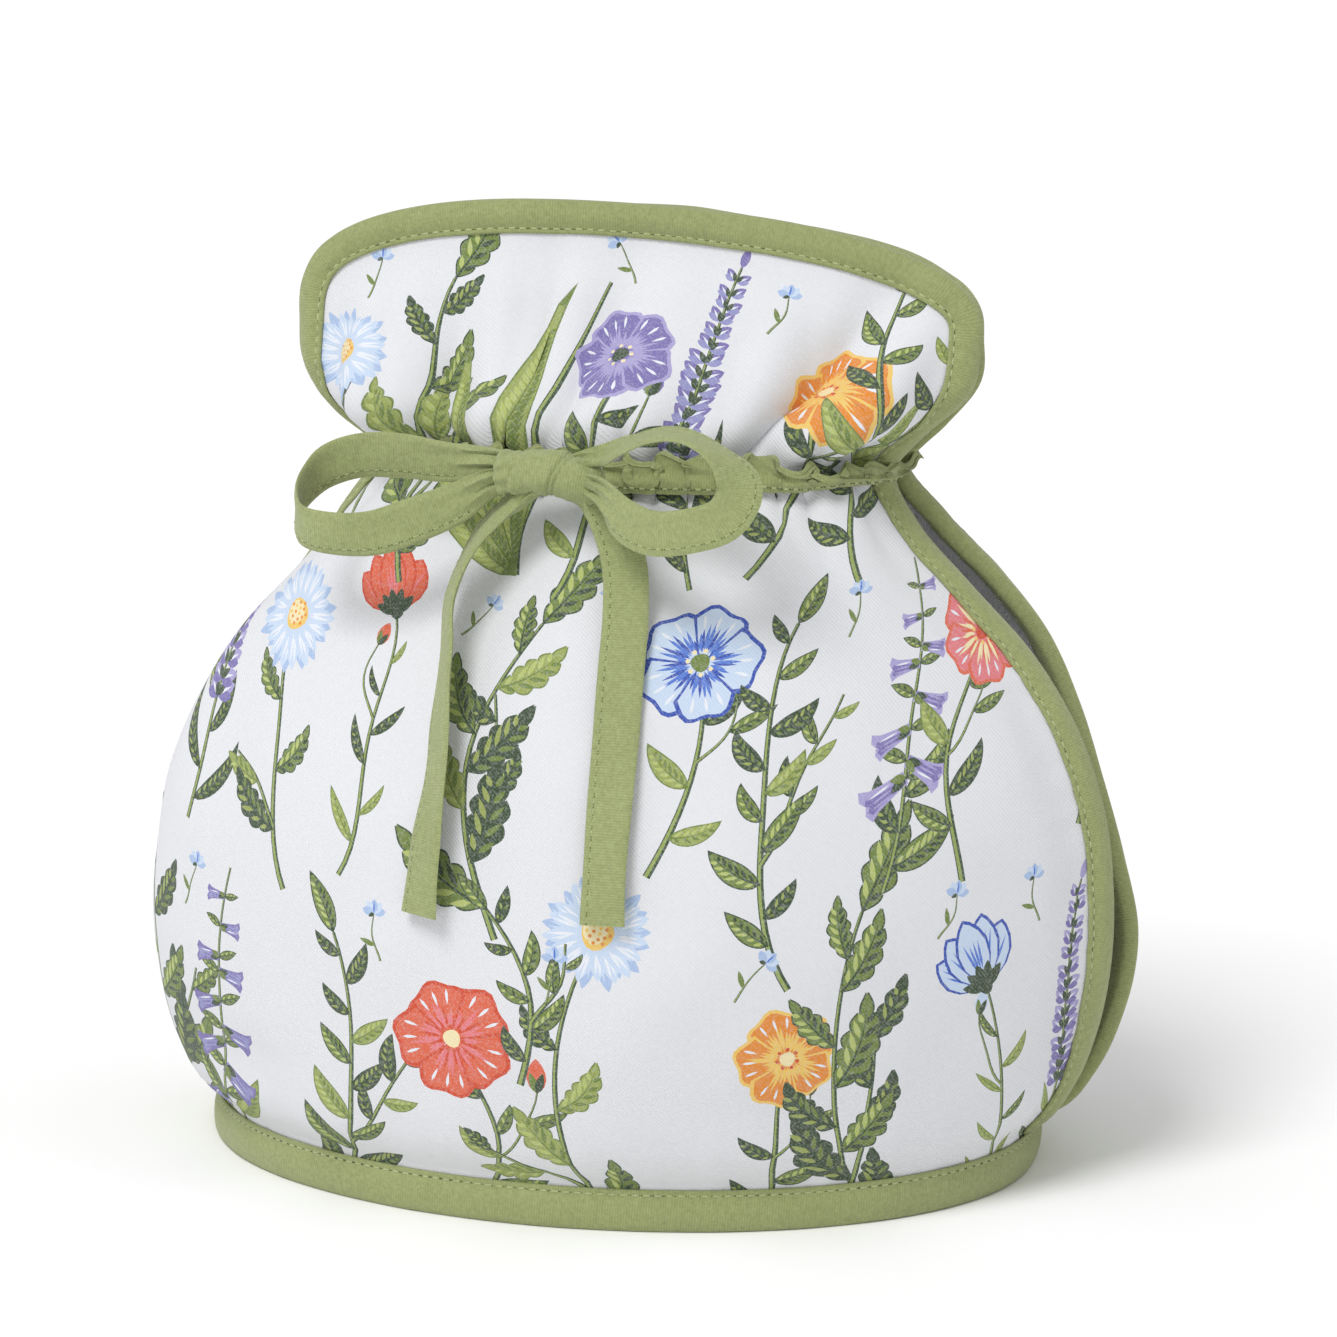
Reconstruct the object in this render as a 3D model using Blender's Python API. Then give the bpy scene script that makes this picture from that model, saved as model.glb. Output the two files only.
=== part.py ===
"""A drawstring tea cosy, in metres, standing on its hem with +Z up and its front towards -Y.

Two padded cloth panels, front and back, run from the hem up through a drawn-in neck to a standing frill.
Each panel's open edge is bound with a folded strip. A ring of the same strip joins both panels at the hem,
a gathered casing draws in the neck, and the drawstring is tied in a bow at the front. Between the panels,
one slit on each side leaves room for a spout and a handle.
"""

import math

import bpy
import numpy as np

# ---- Driving dimensions -------------------------------------------------------------------------------
AXIS_X, AXIS_Y = -0.0084, 0.0022  # the hem's centre, so that the origin is under the middle of the box
PANEL_THICKNESS = 0.0046  # padded cloth
EDGE_THICKNESS = 0.0018  # the same cloth, pressed flat inside a binding
SWELL_START, SWELL_LENGTH = 0.0095, 0.014  # distance from the bound edge over which the padding fills out
BINDING_WIDTH = 0.0068
BINDING_THICKNESS = 0.0012
BINDING_FOLD = 0.0009  # the binding's turned-in edge, where its stitching holds it down
CLEARANCE = 0.0011  # between the faces of pieces that are sewn together
EDGE_CLEARANCE = 0.0008  # between a panel's cut edge and the fold of its binding
HEM_HEIGHT = 0.0102
CASING_BELOW, CASING_ABOVE = 0.0042, 0.0052  # the casing's edges, from its middle
PANEL_FOOT = 0.0021  # height at which the panels start, inside the hem ring
NECK_HEIGHT = 0.1680
CORNER_HEIGHT = 0.1970  # where the frill is widest and its round corners start
CORNER_POWER = 3.2  # squareness of the corners
CREST_HEIGHT = 0.2259  # top edge of the cloth, at its highest
CREST_PLACE, CREST_DROP = -0.25, 0.005  # the crest lies left of the middle and falls away to both sides
BACK_CREST_DROP = 0.0028  # the back panel's frill is a little lower
STRAP_WIDTH, STRAP_THICKNESS = 0.0102, 0.0017
STRAP_CLEARANCE = 0.0020  # between a hanging strap and the cloth behind it

# ---- Steps of the meshes ------------------------------------------------------------------------------
PANEL_COLUMNS = 32
PANEL_ROW_HEIGHTS = np.concatenate(
    [
        [PANEL_FOOT, HEM_HEIGHT, 0.0126, 0.0158],
        [0.021, 0.028, 0.037, 0.049, 0.064, 0.080, 0.096, 0.1095, 0.121, 0.1305, 0.1385, 0.145, 0.1505],
        np.linspace(0.1550, 0.186, 8),
        np.linspace(0.192, CREST_HEIGHT, 6),
    ]
)
HEM_STEPS = 56
CASING_RUFFLES, STEPS_PER_RUFFLE = 36, 4
SECTION_SAMPLES = 161

FRONT, BACK = -1, 1

# Half widths and depths of the middle of the cloth at each height. "gap" is half of the slit's width, and
# the "wrap" of a side is how many degrees its curve turns before the edge: 90 where it wraps right round
# and far less where it ends in a flap. "curl" is how far the left side turns on past its widest place.
LEVEL_COLUMNS = ("height", "left", "right", "depth", "gap", "wrap_left", "wrap_right", "curl")
FRONT_LEVELS = (
    (0.0000, 0.0973, 0.0973, 0.0698, 0.0024, 90, 90, 0),
    (0.0102, 0.0966, 0.0980, 0.0700, 0.0026, 90, 90, 0),
    (0.0112, 0.0968, 0.0983, 0.0701, 0.0027, 90, 90, 1),
    (0.0165, 0.1000, 0.1036, 0.0733, 0.0040, 90, 82, 5),
    (0.0230, 0.1015, 0.1080, 0.0763, 0.0057, 90, 76, 9),
    (0.0370, 0.1030, 0.1138, 0.0805, 0.0088, 90, 60, 14),
    (0.0550, 0.1036, 0.1176, 0.0835, 0.0118, 90, 41, 17),
    (0.0730, 0.1026, 0.1180, 0.0840, 0.0130, 90, 37, 18),
    (0.0920, 0.1004, 0.1154, 0.0808, 0.0128, 90, 37, 18),
    (0.1100, 0.0938, 0.1084, 0.0742, 0.0112, 90, 41, 18),
    (0.1260, 0.0838, 0.0972, 0.0655, 0.0088, 90, 53, 16),
    (0.1400, 0.0725, 0.0826, 0.0553, 0.0060, 90, 67, 12),
    (0.1530, 0.0632, 0.0698, 0.0450, 0.0038, 86, 76, 6),
    (0.1680, 0.0566, 0.0640, 0.0360, 0.0026, 84, 82, 0),
    (0.1770, 0.0672, 0.0718, 0.0330, 0.0045, 82, 79, 0),
    (0.1860, 0.0735, 0.0816, 0.0270, 0.0060, 79, 79, 0),
    (0.1970, 0.0752, 0.0842, 0.0185, 0.0045, 70, 74, 0),
    (0.2120, 0.0752, 0.0842, 0.0105, 0.0035, 56, 64, 0),
    (0.2400, 0.0752, 0.0842, 0.0055, 0.0034, 24, 24, 0),
)
BACK_LEVELS = (
    (0.0000, 0.0973, 0.0973, 0.0698, 0.0024, 90, 90, 0),
    (0.0102, 0.0966, 0.0980, 0.0700, 0.0026, 90, 90, 0),
    (0.0112, 0.0968, 0.0983, 0.0701, 0.0027, 90, 90, 1),
    (0.0165, 0.1000, 0.1060, 0.0733, 0.0040, 90, 82, 5),
    (0.0230, 0.1015, 0.1110, 0.0763, 0.0057, 90, 76, 9),
    (0.0370, 0.1030, 0.1170, 0.0805, 0.0088, 90, 60, 14),
    (0.0550, 0.1036, 0.1196, 0.0835, 0.0118, 90, 41, 17),
    (0.0730, 0.1026, 0.1158, 0.0840, 0.0130, 90, 37, 18),
    (0.0920, 0.1004, 0.1104, 0.0808, 0.0128, 90, 37, 18),
    (0.1100, 0.0938, 0.1050, 0.0742, 0.0112, 90, 41, 18),
    (0.1260, 0.0838, 0.0982, 0.0655, 0.0088, 90, 53, 16),
    (0.1400, 0.0725, 0.0876, 0.0553, 0.0060, 90, 70, 12),
    (0.1530, 0.0632, 0.0750, 0.0450, 0.0040, 86, 79, 6),
    (0.1680, 0.0566, 0.0655, 0.0360, 0.0026, 84, 82, 0),
    (0.1770, 0.0672, 0.0740, 0.0330, 0.0055, 82, 79, 0),
    (0.1860, 0.0735, 0.0812, 0.0270, 0.0070, 79, 79, 0),
    (0.1970, 0.0752, 0.0826, 0.0185, 0.0047, 70, 74, 0),
    (0.2120, 0.0752, 0.0826, 0.0105, 0.0035, 56, 64, 0),
    (0.2400, 0.0752, 0.0826, 0.0055, 0.0034, 24, 24, 0),
)
LEVELS = {FRONT: np.array(FRONT_LEVELS), BACK: np.array(BACK_LEVELS)}

# Soft folds that run from the neck. "place" is across the panel at the neck, from -1 to 1, "lean" its
# change per metre of height, "crest" the height of its top (negative for a trough), "far" how far from
# the neck it dies away and "way" is 1 for a fold of the frill and -1 for one of the shoulder.
FOLD_COLUMNS = ("side", "way", "place", "lean", "spread", "crest", "far")
FOLDS = (
    (FRONT, 1, -0.72, 1.0, 0.085, 0.0022, 0.030),
    (FRONT, 1, -0.46, 4.0, 0.070, -0.0026, 0.034),
    (FRONT, 1, -0.30, 2.0, 0.080, 0.0018, 0.030),
    (FRONT, 1, -0.13, 2.5, 0.060, -0.0028, 0.040),
    (FRONT, 1, 0.02, 3.0, 0.080, 0.0024, 0.024),
    (FRONT, 1, 0.30, 2.0, 0.075, -0.0024, 0.020),
    (FRONT, 1, 0.42, 8.0, 0.080, -0.0030, 0.040),
    (FRONT, 1, 0.62, 8.0, 0.085, 0.0028, 0.036),
    (FRONT, -1, -0.62, -0.5, 0.080, 0.0016, 0.030),
    (FRONT, -1, -0.28, -0.5, 0.080, -0.0018, 0.034),
    (FRONT, -1, 0.00, -0.3, 0.080, 0.0016, 0.038),
    (FRONT, -1, 0.24, 0.3, 0.080, -0.0016, 0.030),
    (FRONT, -1, 0.50, 0.5, 0.080, 0.0016, 0.028),
    (BACK, 1, -0.60, 2.0, 0.085, 0.0024, 0.034),
    (BACK, 1, -0.30, 1.0, 0.080, -0.0028, 0.038),
    (BACK, 1, 0.04, 0.0, 0.085, 0.0026, 0.040),
    (BACK, 1, 0.36, -1.0, 0.080, -0.0028, 0.036),
    (BACK, 1, 0.66, 1.0, 0.085, 0.0022, 0.032),
    (BACK, -1, -0.50, -0.5, 0.085, 0.0018, 0.032),
    (BACK, -1, -0.16, 0.0, 0.080, -0.0018, 0.036),
    (BACK, -1, 0.18, 0.0, 0.085, 0.0018, 0.034),
    (BACK, -1, 0.52, 0.5, 0.080, -0.0016, 0.030),
)

# ---- Curves and surfaces ------------------------------------------------------------------------------


def smooth(x):
    x = np.clip(x, 0, 1)
    return x * x * (3 - 2 * x)


def spline(knots, values, x):
    """A smooth curve through the values at the knots."""
    slopes = np.gradient(values, knots, axis=0)
    k = np.clip(np.searchsorted(knots, x, side="right") - 1, 0, len(knots) - 2)
    width = knots[k + 1] - knots[k]
    u = np.clip((x - knots[k]) / width, 0, 1)
    if np.ndim(values) > 1:
        u, width = u[:, None], width[:, None]
    start = (1 + 2 * u) * (1 - u) ** 2 * values[k] + u * (1 - u) ** 2 * width * slopes[k]
    end = u * u * (3 - 2 * u) * values[k + 1] - u * u * (1 - u) * width * slopes[k + 1]
    return start + end


def outline_point(level, angle):
    """A point of a level's section; angle goes from -90 degrees at the left edge to 90 at the right."""
    left, right, depth, gap, wrap_left, wrap_right, curl = level
    across = np.sin(angle)
    wrap = wrap_left + (wrap_right - wrap_left) * smooth((across + 0.6) / 1.2)
    turn = np.radians(np.minimum(wrap, 90))
    flat = np.cos(turn)
    bulge = (np.sqrt(np.maximum(1 - (np.sin(turn) * across) ** 2, 0)) - flat) / (1 - flat)
    wrapped = angle - np.radians(curl) * smooth((-angle - math.pi / 4) / (math.pi / 4))
    x = (right - left) / 2 + (right + left) / 2 * np.sin(wrapped)
    y = gap + (depth - gap) * bulge
    return x, y


def section(side, s, z):
    """The middle of the cloth; s goes by length from -1 at the left edge to 1 at the right edge."""
    table = LEVELS[side]
    level = [spline(table[:, 0], table[:, c], z)[:, None] for c in range(1, len(LEVEL_COLUMNS))]
    angle = np.broadcast_to(np.linspace(-math.pi / 2, math.pi / 2, SECTION_SAMPLES), (len(z), SECTION_SAMPLES))
    x, y = outline_point(level, angle)
    length = np.cumsum(np.hypot(np.diff(x), np.diff(y)), axis=1)
    length = np.hstack([np.zeros((len(z), 1)), length])
    wanted = (s[:, None] + 1) / 2 * length[:, -1:]
    k = np.clip((length < wanted).sum(axis=1) - 1, 0, SECTION_SAMPLES - 2)[:, None]
    low = np.take_along_axis(length, k, 1)
    high = np.take_along_axis(length, k + 1, 1)
    step = math.pi / (SECTION_SAMPLES - 1)
    found = -math.pi / 2 + step * (k + (wanted - low) / (high - low))
    x, y = outline_point(level, found)
    return np.stack([AXIS_X + x[:, 0], AXIS_Y + side * y[:, 0], z], axis=1)


def slopes_of(shape, side, s, z):
    """How the shape's points move per unit of s and per metre of height."""
    ds, dz = 0.004, 0.0006
    low, high = np.maximum(s - ds, -1), np.minimum(s + ds, 1)
    across = (shape(side, high, z) - shape(side, low, z)) / (high - low)[:, None]
    up = (shape(side, s, z + dz) - shape(side, s, z - dz)) / (2 * dz)
    return across, up


def directions_along(points):
    """Unit vectors along a line of points, even where its steps are uneven."""
    steps = np.diff(points, axis=0)
    steps /= np.linalg.norm(steps, axis=1)[:, None]
    both = np.concatenate([steps[:1], steps[1:] + steps[:-1], steps[-1:]])
    return both / np.linalg.norm(both, axis=1)[:, None]


def normals_of(shape, side, s, z):
    """Unit normals that point out of the cosy."""
    across, up = slopes_of(shape, side, s, z)
    normal = np.cross(across, up) * -side
    return normal / np.linalg.norm(normal, axis=1)[:, None]


def fold_height(side, s, z):
    """How far the folds stand out of the plain surface."""
    total = np.zeros(len(s))
    for fold_side, way, place, lean, spread, crest, far in FOLDS:
        if fold_side != side:
            continue
        away = np.maximum((z - NECK_HEIGHT) * way, 0)
        middle = place + lean * (z - NECK_HEIGHT)
        wide = spread * (1 + away / 0.050)
        rise = (1 - np.exp(-((away / 0.009) ** 2))) * np.exp(-((away / far) ** 2))
        total += crest * rise * np.exp(-(((s - middle) / wide) ** 2))
    calm = smooth((0.95 - np.abs(s)) / 0.18)
    return total * calm


def cloth(side, s, z):
    """The middle of the cloth, with its folds."""
    return section(side, s, z) + normals_of(section, side, s, z) * fold_height(side, s, z)[:, None]


def crest_line(side, s):
    """Height of the frill's top before its corners are rounded off."""
    return CREST_HEIGHT - CREST_DROP * (s - CREST_PLACE) ** 2 - (BACK_CREST_DROP if side == BACK else 0)


def top_edge(side, s):
    """Height of the cloth's top edge at s."""
    crest = crest_line(side, s)
    drop = np.maximum(1 - np.abs(s) ** CORNER_POWER, 0) ** (1 / CORNER_POWER)
    return CORNER_HEIGHT + (crest - CORNER_HEIGHT) * drop


def along(points, count):
    """count places, evenly spaced by length, as fractional indices of the points."""
    length = np.concatenate([[0], np.cumsum(np.linalg.norm(np.diff(points, axis=0), axis=1))])
    return np.interp(np.linspace(0, length[-1], count), length, np.arange(len(points)))


def panel_columns():
    """Places across a panel of its mesh's columns, closer together near both edges."""
    even = np.linspace(-1, 1, PANEL_COLUMNS + 1)
    return 1.42 * even - 0.42 * even**3


def row_height(row, top):
    """Height of a row of a panel's mesh where the panel's top is at the height top."""
    blend = CORNER_HEIGHT - 0.011
    up = (row - blend) / (CREST_HEIGHT - blend)
    return np.where(up > 0, blend + up * (top - blend), row)


def bound_edge(side):
    """(s, z) up the left side of a panel, over its top and down the right side."""
    rise = row_height(PANEL_ROW_HEIGHTS, CORNER_HEIGHT)
    rise = rise[rise > HEM_HEIGHT]
    over = panel_columns()[1:-1]
    s = np.concatenate([np.full(len(rise), -1.0), over, np.full(len(rise), 1.0)])
    z = np.concatenate([rise, top_edge(side, over), rise[::-1]])
    return s, z


def thickness(side, s, z):
    """Thickness of the padded cloth: thin at every sewn edge, full in the middle."""
    edge = cloth(side, *bound_edge(side))
    place = along(edge, 300)
    edge = np.stack([np.interp(place, np.arange(len(edge)), edge[:, c]) for c in range(3)], axis=1)
    points = cloth(side, s, z)
    apart = np.sqrt(((points[:, None] - edge[None]) ** 2).sum(axis=2)).min(axis=1)
    swell = smooth((apart - SWELL_START) / SWELL_LENGTH) * smooth((z - 0.0125) / 0.010)
    swell *= 1 - 0.45 * np.exp(-(((z - NECK_HEIGHT) / 0.007) ** 2))
    return EDGE_THICKNESS + (PANEL_THICKNESS - EDGE_THICKNESS) * swell


# ---- Meshes -------------------------------------------------------------------------------------------


def make_object(name, points, faces, finish):
    mesh = bpy.data.meshes.new(name)
    mesh.from_pydata([tuple(p) for p in points], [], faces)
    mesh.update()
    mesh.materials.append(finish)
    mesh.shade_smooth()
    mesh.set_sharp_from_angle(angle=math.radians(50))
    made = bpy.data.objects.new(name, mesh)
    bpy.context.scene.collection.objects.link(made)
    return made


def make_sweep(name, rings, finish, closed=False):
    """A solid through rings of points that go anticlockwise as seen from the end of the sweep."""
    rings = np.asarray(rings)
    steps, corners = rings.shape[:2]
    faces = []
    for i in range(steps if closed else steps - 1):
        here, there = i * corners, (i + 1) % steps * corners
        for j in range(corners):
            k = (j + 1) % corners
            faces.append((here + j, here + k, there + k, there + j))
    if not closed:
        faces.append(tuple(range(corners))[::-1])
        faces.append(tuple((steps - 1) * corners + j for j in range(corners)))
    return make_object(name, rings.reshape(-1, 3), faces, finish)


def make_panel(name, side, finish):
    """One padded panel, as an outer and an inner skin joined round the cut edge."""
    columns, rows = panel_columns(), PANEL_ROW_HEIGHTS
    s = np.tile(columns, len(rows))
    z = row_height(np.repeat(rows, len(columns)), np.tile(top_edge(side, columns), len(rows)))
    middle = cloth(side, s, z)
    normal = normals_of(cloth, side, s, z)
    normal[z <= HEM_HEIGHT, 2] = 0  # upright inside the hem ring
    half = normal * (thickness(side, s, z) / 2)[:, None]
    points = np.concatenate([middle + half, middle - half])
    wide, count = len(columns), len(s)
    faces = []
    for j in range(len(rows) - 1):
        for i in range(wide - 1):
            quad = (j * wide + i, j * wide + i + 1, (j + 1) * wide + i + 1, (j + 1) * wide + i)
            faces.append(quad)
            faces.append(tuple(count + v for v in quad[::-1]))
    last = (len(rows) - 1) * wide
    rim = list(range(wide)) + [j * wide + wide - 1 for j in range(1, len(rows))]
    rim += list(range(last + wide - 2, last - 1, -1)) + [j * wide for j in range(len(rows) - 2, 0, -1)]
    for a, b in zip(rim, rim[1:] + rim[:1]):
        faces.append((b, a, count + a, count + b))
    if side == BACK:
        faces = [face[::-1] for face in faces]
    return make_object(name, points, faces, finish)


def inward_strip(side, s, z, heading, distance, steps=4):
    """Walks over the cloth from its edge: points and normals at half of the distance and at all of it."""
    found = []
    s, z = s.copy(), z.copy()
    for step in range(steps):
        across, up = slopes_of(cloth, side, s, z)
        matrix = np.stack([across, up], axis=2)
        square = np.einsum("nij,nik->njk", matrix, matrix)
        move = np.linalg.solve(square, np.einsum("nij,ni->nj", matrix, heading)[:, :, None])[:, :, 0]
        real = np.linalg.norm(np.einsum("nij,nj->ni", matrix, move), axis=1)
        move *= (distance / steps / real)[:, None]
        s, z = np.clip(s + move[:, 0], -1, 1), z + move[:, 1]
        if (step + 1) % (steps // 2) == 0:
            found.append((cloth(side, s, z), normals_of(cloth, side, s, z)))
    return found


def make_binding(name, side, finish):
    """A folded strip round a panel's sides and top: a deep U that holds the cloth's edge."""
    s, z = bound_edge(side)
    edge = cloth(side, s, z)
    normal = normals_of(cloth, side, s, z)
    inward = np.cross(normal, directions_along(edge)) * side
    inward /= np.linalg.norm(inward, axis=1)[:, None]
    (middle, middle_normal), (lip, lip_normal) = inward_strip(side, s, z, inward, BINDING_WIDTH)
    hold = EDGE_THICKNESS / 2 + CLEARANCE
    skin = hold + BINDING_THICKNESS
    fold = EDGE_CLEARANCE + BINDING_THICKNESS
    rings = [
        lip + lip_normal * (hold + BINDING_FOLD),
        middle + middle_normal * (skin + 0.0003),
        edge + normal * skin,
        edge - inward * fold + normal * skin * 0.45,
        edge - inward * fold - normal * skin * 0.45,
        edge - normal * skin,
        middle - middle_normal * (skin + 0.0003),
        lip - lip_normal * (hold + BINDING_FOLD),
        lip - lip_normal * hold,
        middle - middle_normal * hold,
        edge - inward * EDGE_CLEARANCE - normal * hold,
        edge - inward * EDGE_CLEARANCE + normal * hold,
        middle + middle_normal * hold,
        lip + lip_normal * hold,
    ]
    rings = np.stack(rings, axis=1)
    rings[:, :, 2] = np.maximum(rings[:, :, 2], HEM_HEIGHT + CLEARANCE)
    return make_sweep(name, rings if side == BACK else rings[:, ::-1], finish)


def loop_round(z, count):
    """count points of the closed loop through both panels at one height, and their outward normals."""
    even = np.linspace(-1, 1, 200)
    level = np.full(len(even), z)
    loop = np.concatenate([section(FRONT, even, level), section(BACK, even[::-1], level)])
    loop = np.concatenate([loop, loop[:1]])
    place = along(loop, count + 1)[:-1]
    points = np.stack([np.interp(place, np.arange(len(loop)), loop[:, c]) for c in range(3)], axis=1)
    tangent = np.roll(points, -1, axis=0) - np.roll(points, 1, axis=0)
    normal = np.stack([tangent[:, 1], -tangent[:, 0], np.zeros(count)], axis=1)
    return points, normal / np.linalg.norm(normal, axis=1)[:, None]


def make_hem_ring(name, finish):
    """The strip that closes round both panels' lower edges, flat underneath."""
    low, normal = loop_round(0.0, HEM_STEPS)
    high, _ = loop_round(HEM_HEIGHT, HEM_STEPS)
    hold = EDGE_THICKNESS / 2 + CLEARANCE
    skin = hold + BINDING_THICKNESS
    foot = 0.0008
    profile = (  # (height, distance out of the middle of the cloth)
        (HEM_HEIGHT, hold + BINDING_FOLD),
        (HEM_HEIGHT * 0.5, skin + 0.0003),
        (foot, skin),
        (0.0, skin - foot),
        (0.0, foot - skin),
        (foot, -skin),
        (HEM_HEIGHT, -hold - BINDING_FOLD),
        (HEM_HEIGHT, -hold),
        (BINDING_THICKNESS, -hold),
        (BINDING_THICKNESS, hold),
        (HEM_HEIGHT, hold),
    )
    rings = []
    for height, out in profile:
        ring = low + (high - low) * (height / HEM_HEIGHT) + normal * out
        ring[:, 2] = height
        rings.append(ring)
    return make_sweep(name, np.stack(rings, axis=1), finish, closed=True)


def casing_stations():
    """(side, s) round the neck from the front middle, right, behind and back to the front middle."""
    mouth = 0.030
    total = CASING_RUFFLES * STEPS_PER_RUFFLE
    quarter = total // 4
    right = [(FRONT, s) for s in np.linspace(mouth, 1, quarter)]
    behind = [(BACK, s) for s in np.linspace(1, -1, 2 * quarter)]
    left = [(FRONT, s) for s in np.linspace(-1, -mouth, quarter)]
    return right, behind, left


def casing_height(side, s):
    """Height of the casing's middle: it rises a little towards the front and back middles."""
    return NECK_HEIGHT - 0.0008 + 0.0042 * (1 - s * s) + (0.0012 if side == BACK else 0.0)


def make_casing(name, finish):
    """The gathered strip round the neck, with a ruffled upper edge and its mouth at the front."""
    lift = 0.0041
    level_points = {}
    for level in (-CASING_BELOW, 0.0, CASING_ABOVE):
        runs = []
        for run in casing_stations():
            side = run[0][0]
            s = np.array([place for _, place in run])
            z = casing_height(side, s) + level * (1 - (0.5 if level > 0 else 0.3) * s * s)
            points = cloth(side, s, z)
            normal = normals_of(cloth, side, s, z)
            runs.append((points, normal))
        joined = [runs[0]]
        for run in runs[1:]:
            last_points, last_normal = joined[-1]
            bridge = (last_points[-1] + run[0][0]) / 2
            bridge_normal = last_normal[-1] + run[1][0]
            bridge_normal = bridge_normal / np.linalg.norm(bridge_normal)
            joined.append((bridge[None], bridge_normal[None]))
            joined.append(run)
        level_points[level] = (
            np.concatenate([points for points, _ in joined]),
            np.concatenate([normal for _, normal in joined]),
        )
    (low, low_out), (middle, middle_out), (high, high_out) = level_points.values()
    length = np.concatenate([[0], np.cumsum(np.linalg.norm(np.diff(middle, axis=0), axis=1))])
    phase = 2 * math.pi * CASING_RUFFLES * length / length[-1]
    wave = np.sin(phase + 0.6 * np.sin(phase * 0.23))[:, None]
    swell = 1 + wave
    up = np.array([0, 0, 1.0])
    rings = [
        low + low_out * (lift + 0.0011 + 0.0003 * swell),
        (low + middle) / 2 + middle_out * (lift + 0.0024 + 0.0004 * swell),
        middle + middle_out * (lift + 0.0016 + 0.0005 * swell),
        high + high_out * (lift + 0.0014 + 0.0011 * swell) + up * 0.0005 * wave,
        high + high_out * (lift + 0.0004 + 0.0011 * swell) + up * 0.0005 * wave,
        middle + middle_out * (lift + 0.0002 * swell),
        low + low_out * lift,
    ]
    return make_sweep(name, np.stack(rings, axis=1)[:, ::-1], finish)


# ---- The tied drawstring ------------------------------------------------------------------------------

# The knot: along X, "radius" up and down, "depth" to the front, "rise" of its middle.
KNOT_X, KNOT_Y, KNOT_Z = -0.0035, -0.0520, 0.1718
KNOT_COLUMNS = ("x", "radius", "depth", "rise")
KNOT = (
    (-0.0122, 0.0030, 0.0026, 0.0000),
    (-0.0104, 0.0046, 0.0038, 0.0000),
    (-0.0068, 0.0056, 0.0048, 0.0002),
    (-0.0020, 0.0061, 0.0053, 0.0002),
    (0.0012, 0.0059, 0.0050, 0.0002),
    (0.0026, 0.0051, 0.0043, 0.0002),
    (0.0044, 0.0056, 0.0047, 0.0000),
    (0.0086, 0.0049, 0.0040, -0.0004),
    (0.0114, 0.0030, 0.0026, -0.0008),
)
KNOT_SIDES = 12

# The loops, from the knot out and back to it: a point of the strap's middle and the way its width points.
STRAP_COLUMNS = ("x", "y", "z", "width_x", "width_y", "width_z")
LEFT_LOOP = (
    (-0.0166, -0.0515, 0.1740, 0.0, 0.10, 1.0),
    (-0.0285, -0.0490, 0.1730, 0.0, 0.05, 1.0),
    (-0.0400, -0.0465, 0.1735, 0.0, 0.00, 1.0),
    (-0.0510, -0.0455, 0.1727, 0.0, -0.05, 1.0),
    (-0.0590, -0.0470, 0.1692, 0.1, -0.10, 1.0),
    (-0.0625, -0.0530, 0.1635, 0.1, -0.10, 1.0),
    (-0.0600, -0.0600, 0.1588, 0.0, -0.10, 1.0),
    (-0.0520, -0.0640, 0.1580, 0.0, -0.05, 1.0),
    (-0.0420, -0.0645, 0.1590, 0.0, 0.00, 1.0),
    (-0.0330, -0.0620, 0.1620, 0.0, 0.10, 1.0),
    (-0.0240, -0.0580, 0.1655, 0.0, 0.15, 1.0),
    (-0.0171, -0.0545, 0.1682, 0.0, 0.15, 1.0),
)
RIGHT_LOOP = (
    (0.0085, -0.0515, 0.1765, 0.0, -0.9, -0.35),
    (0.0145, -0.0545, 0.1800, -0.1, -0.9, -0.30),
    (0.0225, -0.0570, 0.1832, -0.2, -0.9, -0.20),
    (0.0320, -0.0600, 0.1830, -0.5, -0.8, 0.10),
    (0.0400, -0.0640, 0.1795, -0.8, -0.45, 0.30),
    (0.0440, -0.0670, 0.1735, -0.9, -0.15, 0.50),
    (0.0410, -0.0690, 0.1672, -0.5, 0.05, 0.85),
    (0.0330, -0.0695, 0.1640, -0.15, 0.10, 1.0),
    (0.0240, -0.0675, 0.1625, 0.0, 0.15, 1.0),
    (0.0160, -0.0635, 0.1645, 0.1, 0.20, 0.95),
    (0.0095, -0.0580, 0.1690, -0.1, 0.20, 0.95),
)
# The hanging ends: x and z of the strap's middle, "turn" in degrees of its face away from the cloth and
# "lift", how far it stands off where it leaves the knot.
END_COLUMNS = ("x", "z", "turn", "lift")
LEFT_END = (
    (-0.0120, 0.1652, -35, 0.0080),
    (-0.0200, 0.1570, -50, 0.0075),
    (-0.0245, 0.1450, -52, 0.0040),
    (-0.0240, 0.1320, -54, 0.0010),
    (-0.0232, 0.1180, -54, 0.0),
    (-0.0232, 0.1040, -52, 0.0),
    (-0.0246, 0.0900, -40, 0.0),
    (-0.0256, 0.0765, -10, 0.0),
)
RIGHT_END = (
    (0.0075, 0.1664, 20, 0.0080),
    (0.0138, 0.1560, 15, 0.0065),
    (0.0160, 0.1440, 8, 0.0030),
    (0.0168, 0.1320, 4, 0.0008),
    (0.0176, 0.1180, 0, 0.0),
    (0.0178, 0.1040, 0, 0.0),
    (0.0178, 0.0900, 0, 0.0),
    (0.0178, 0.0775, 0, 0.0),
)


def front_face(x, z):
    """y of the front panel's outer face at x and z."""
    table = LEVELS[FRONT]
    level = [spline(table[:, 0], table[:, c], z) for c in range(1, len(LEVEL_COLUMNS))]
    left, right = level[:2]
    angle = np.arcsin(np.clip((x - (right - left) / 2) / ((right + left) / 2), -1, 1))
    return -outline_point(level, angle)[1] - PANEL_THICKNESS / 2


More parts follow.
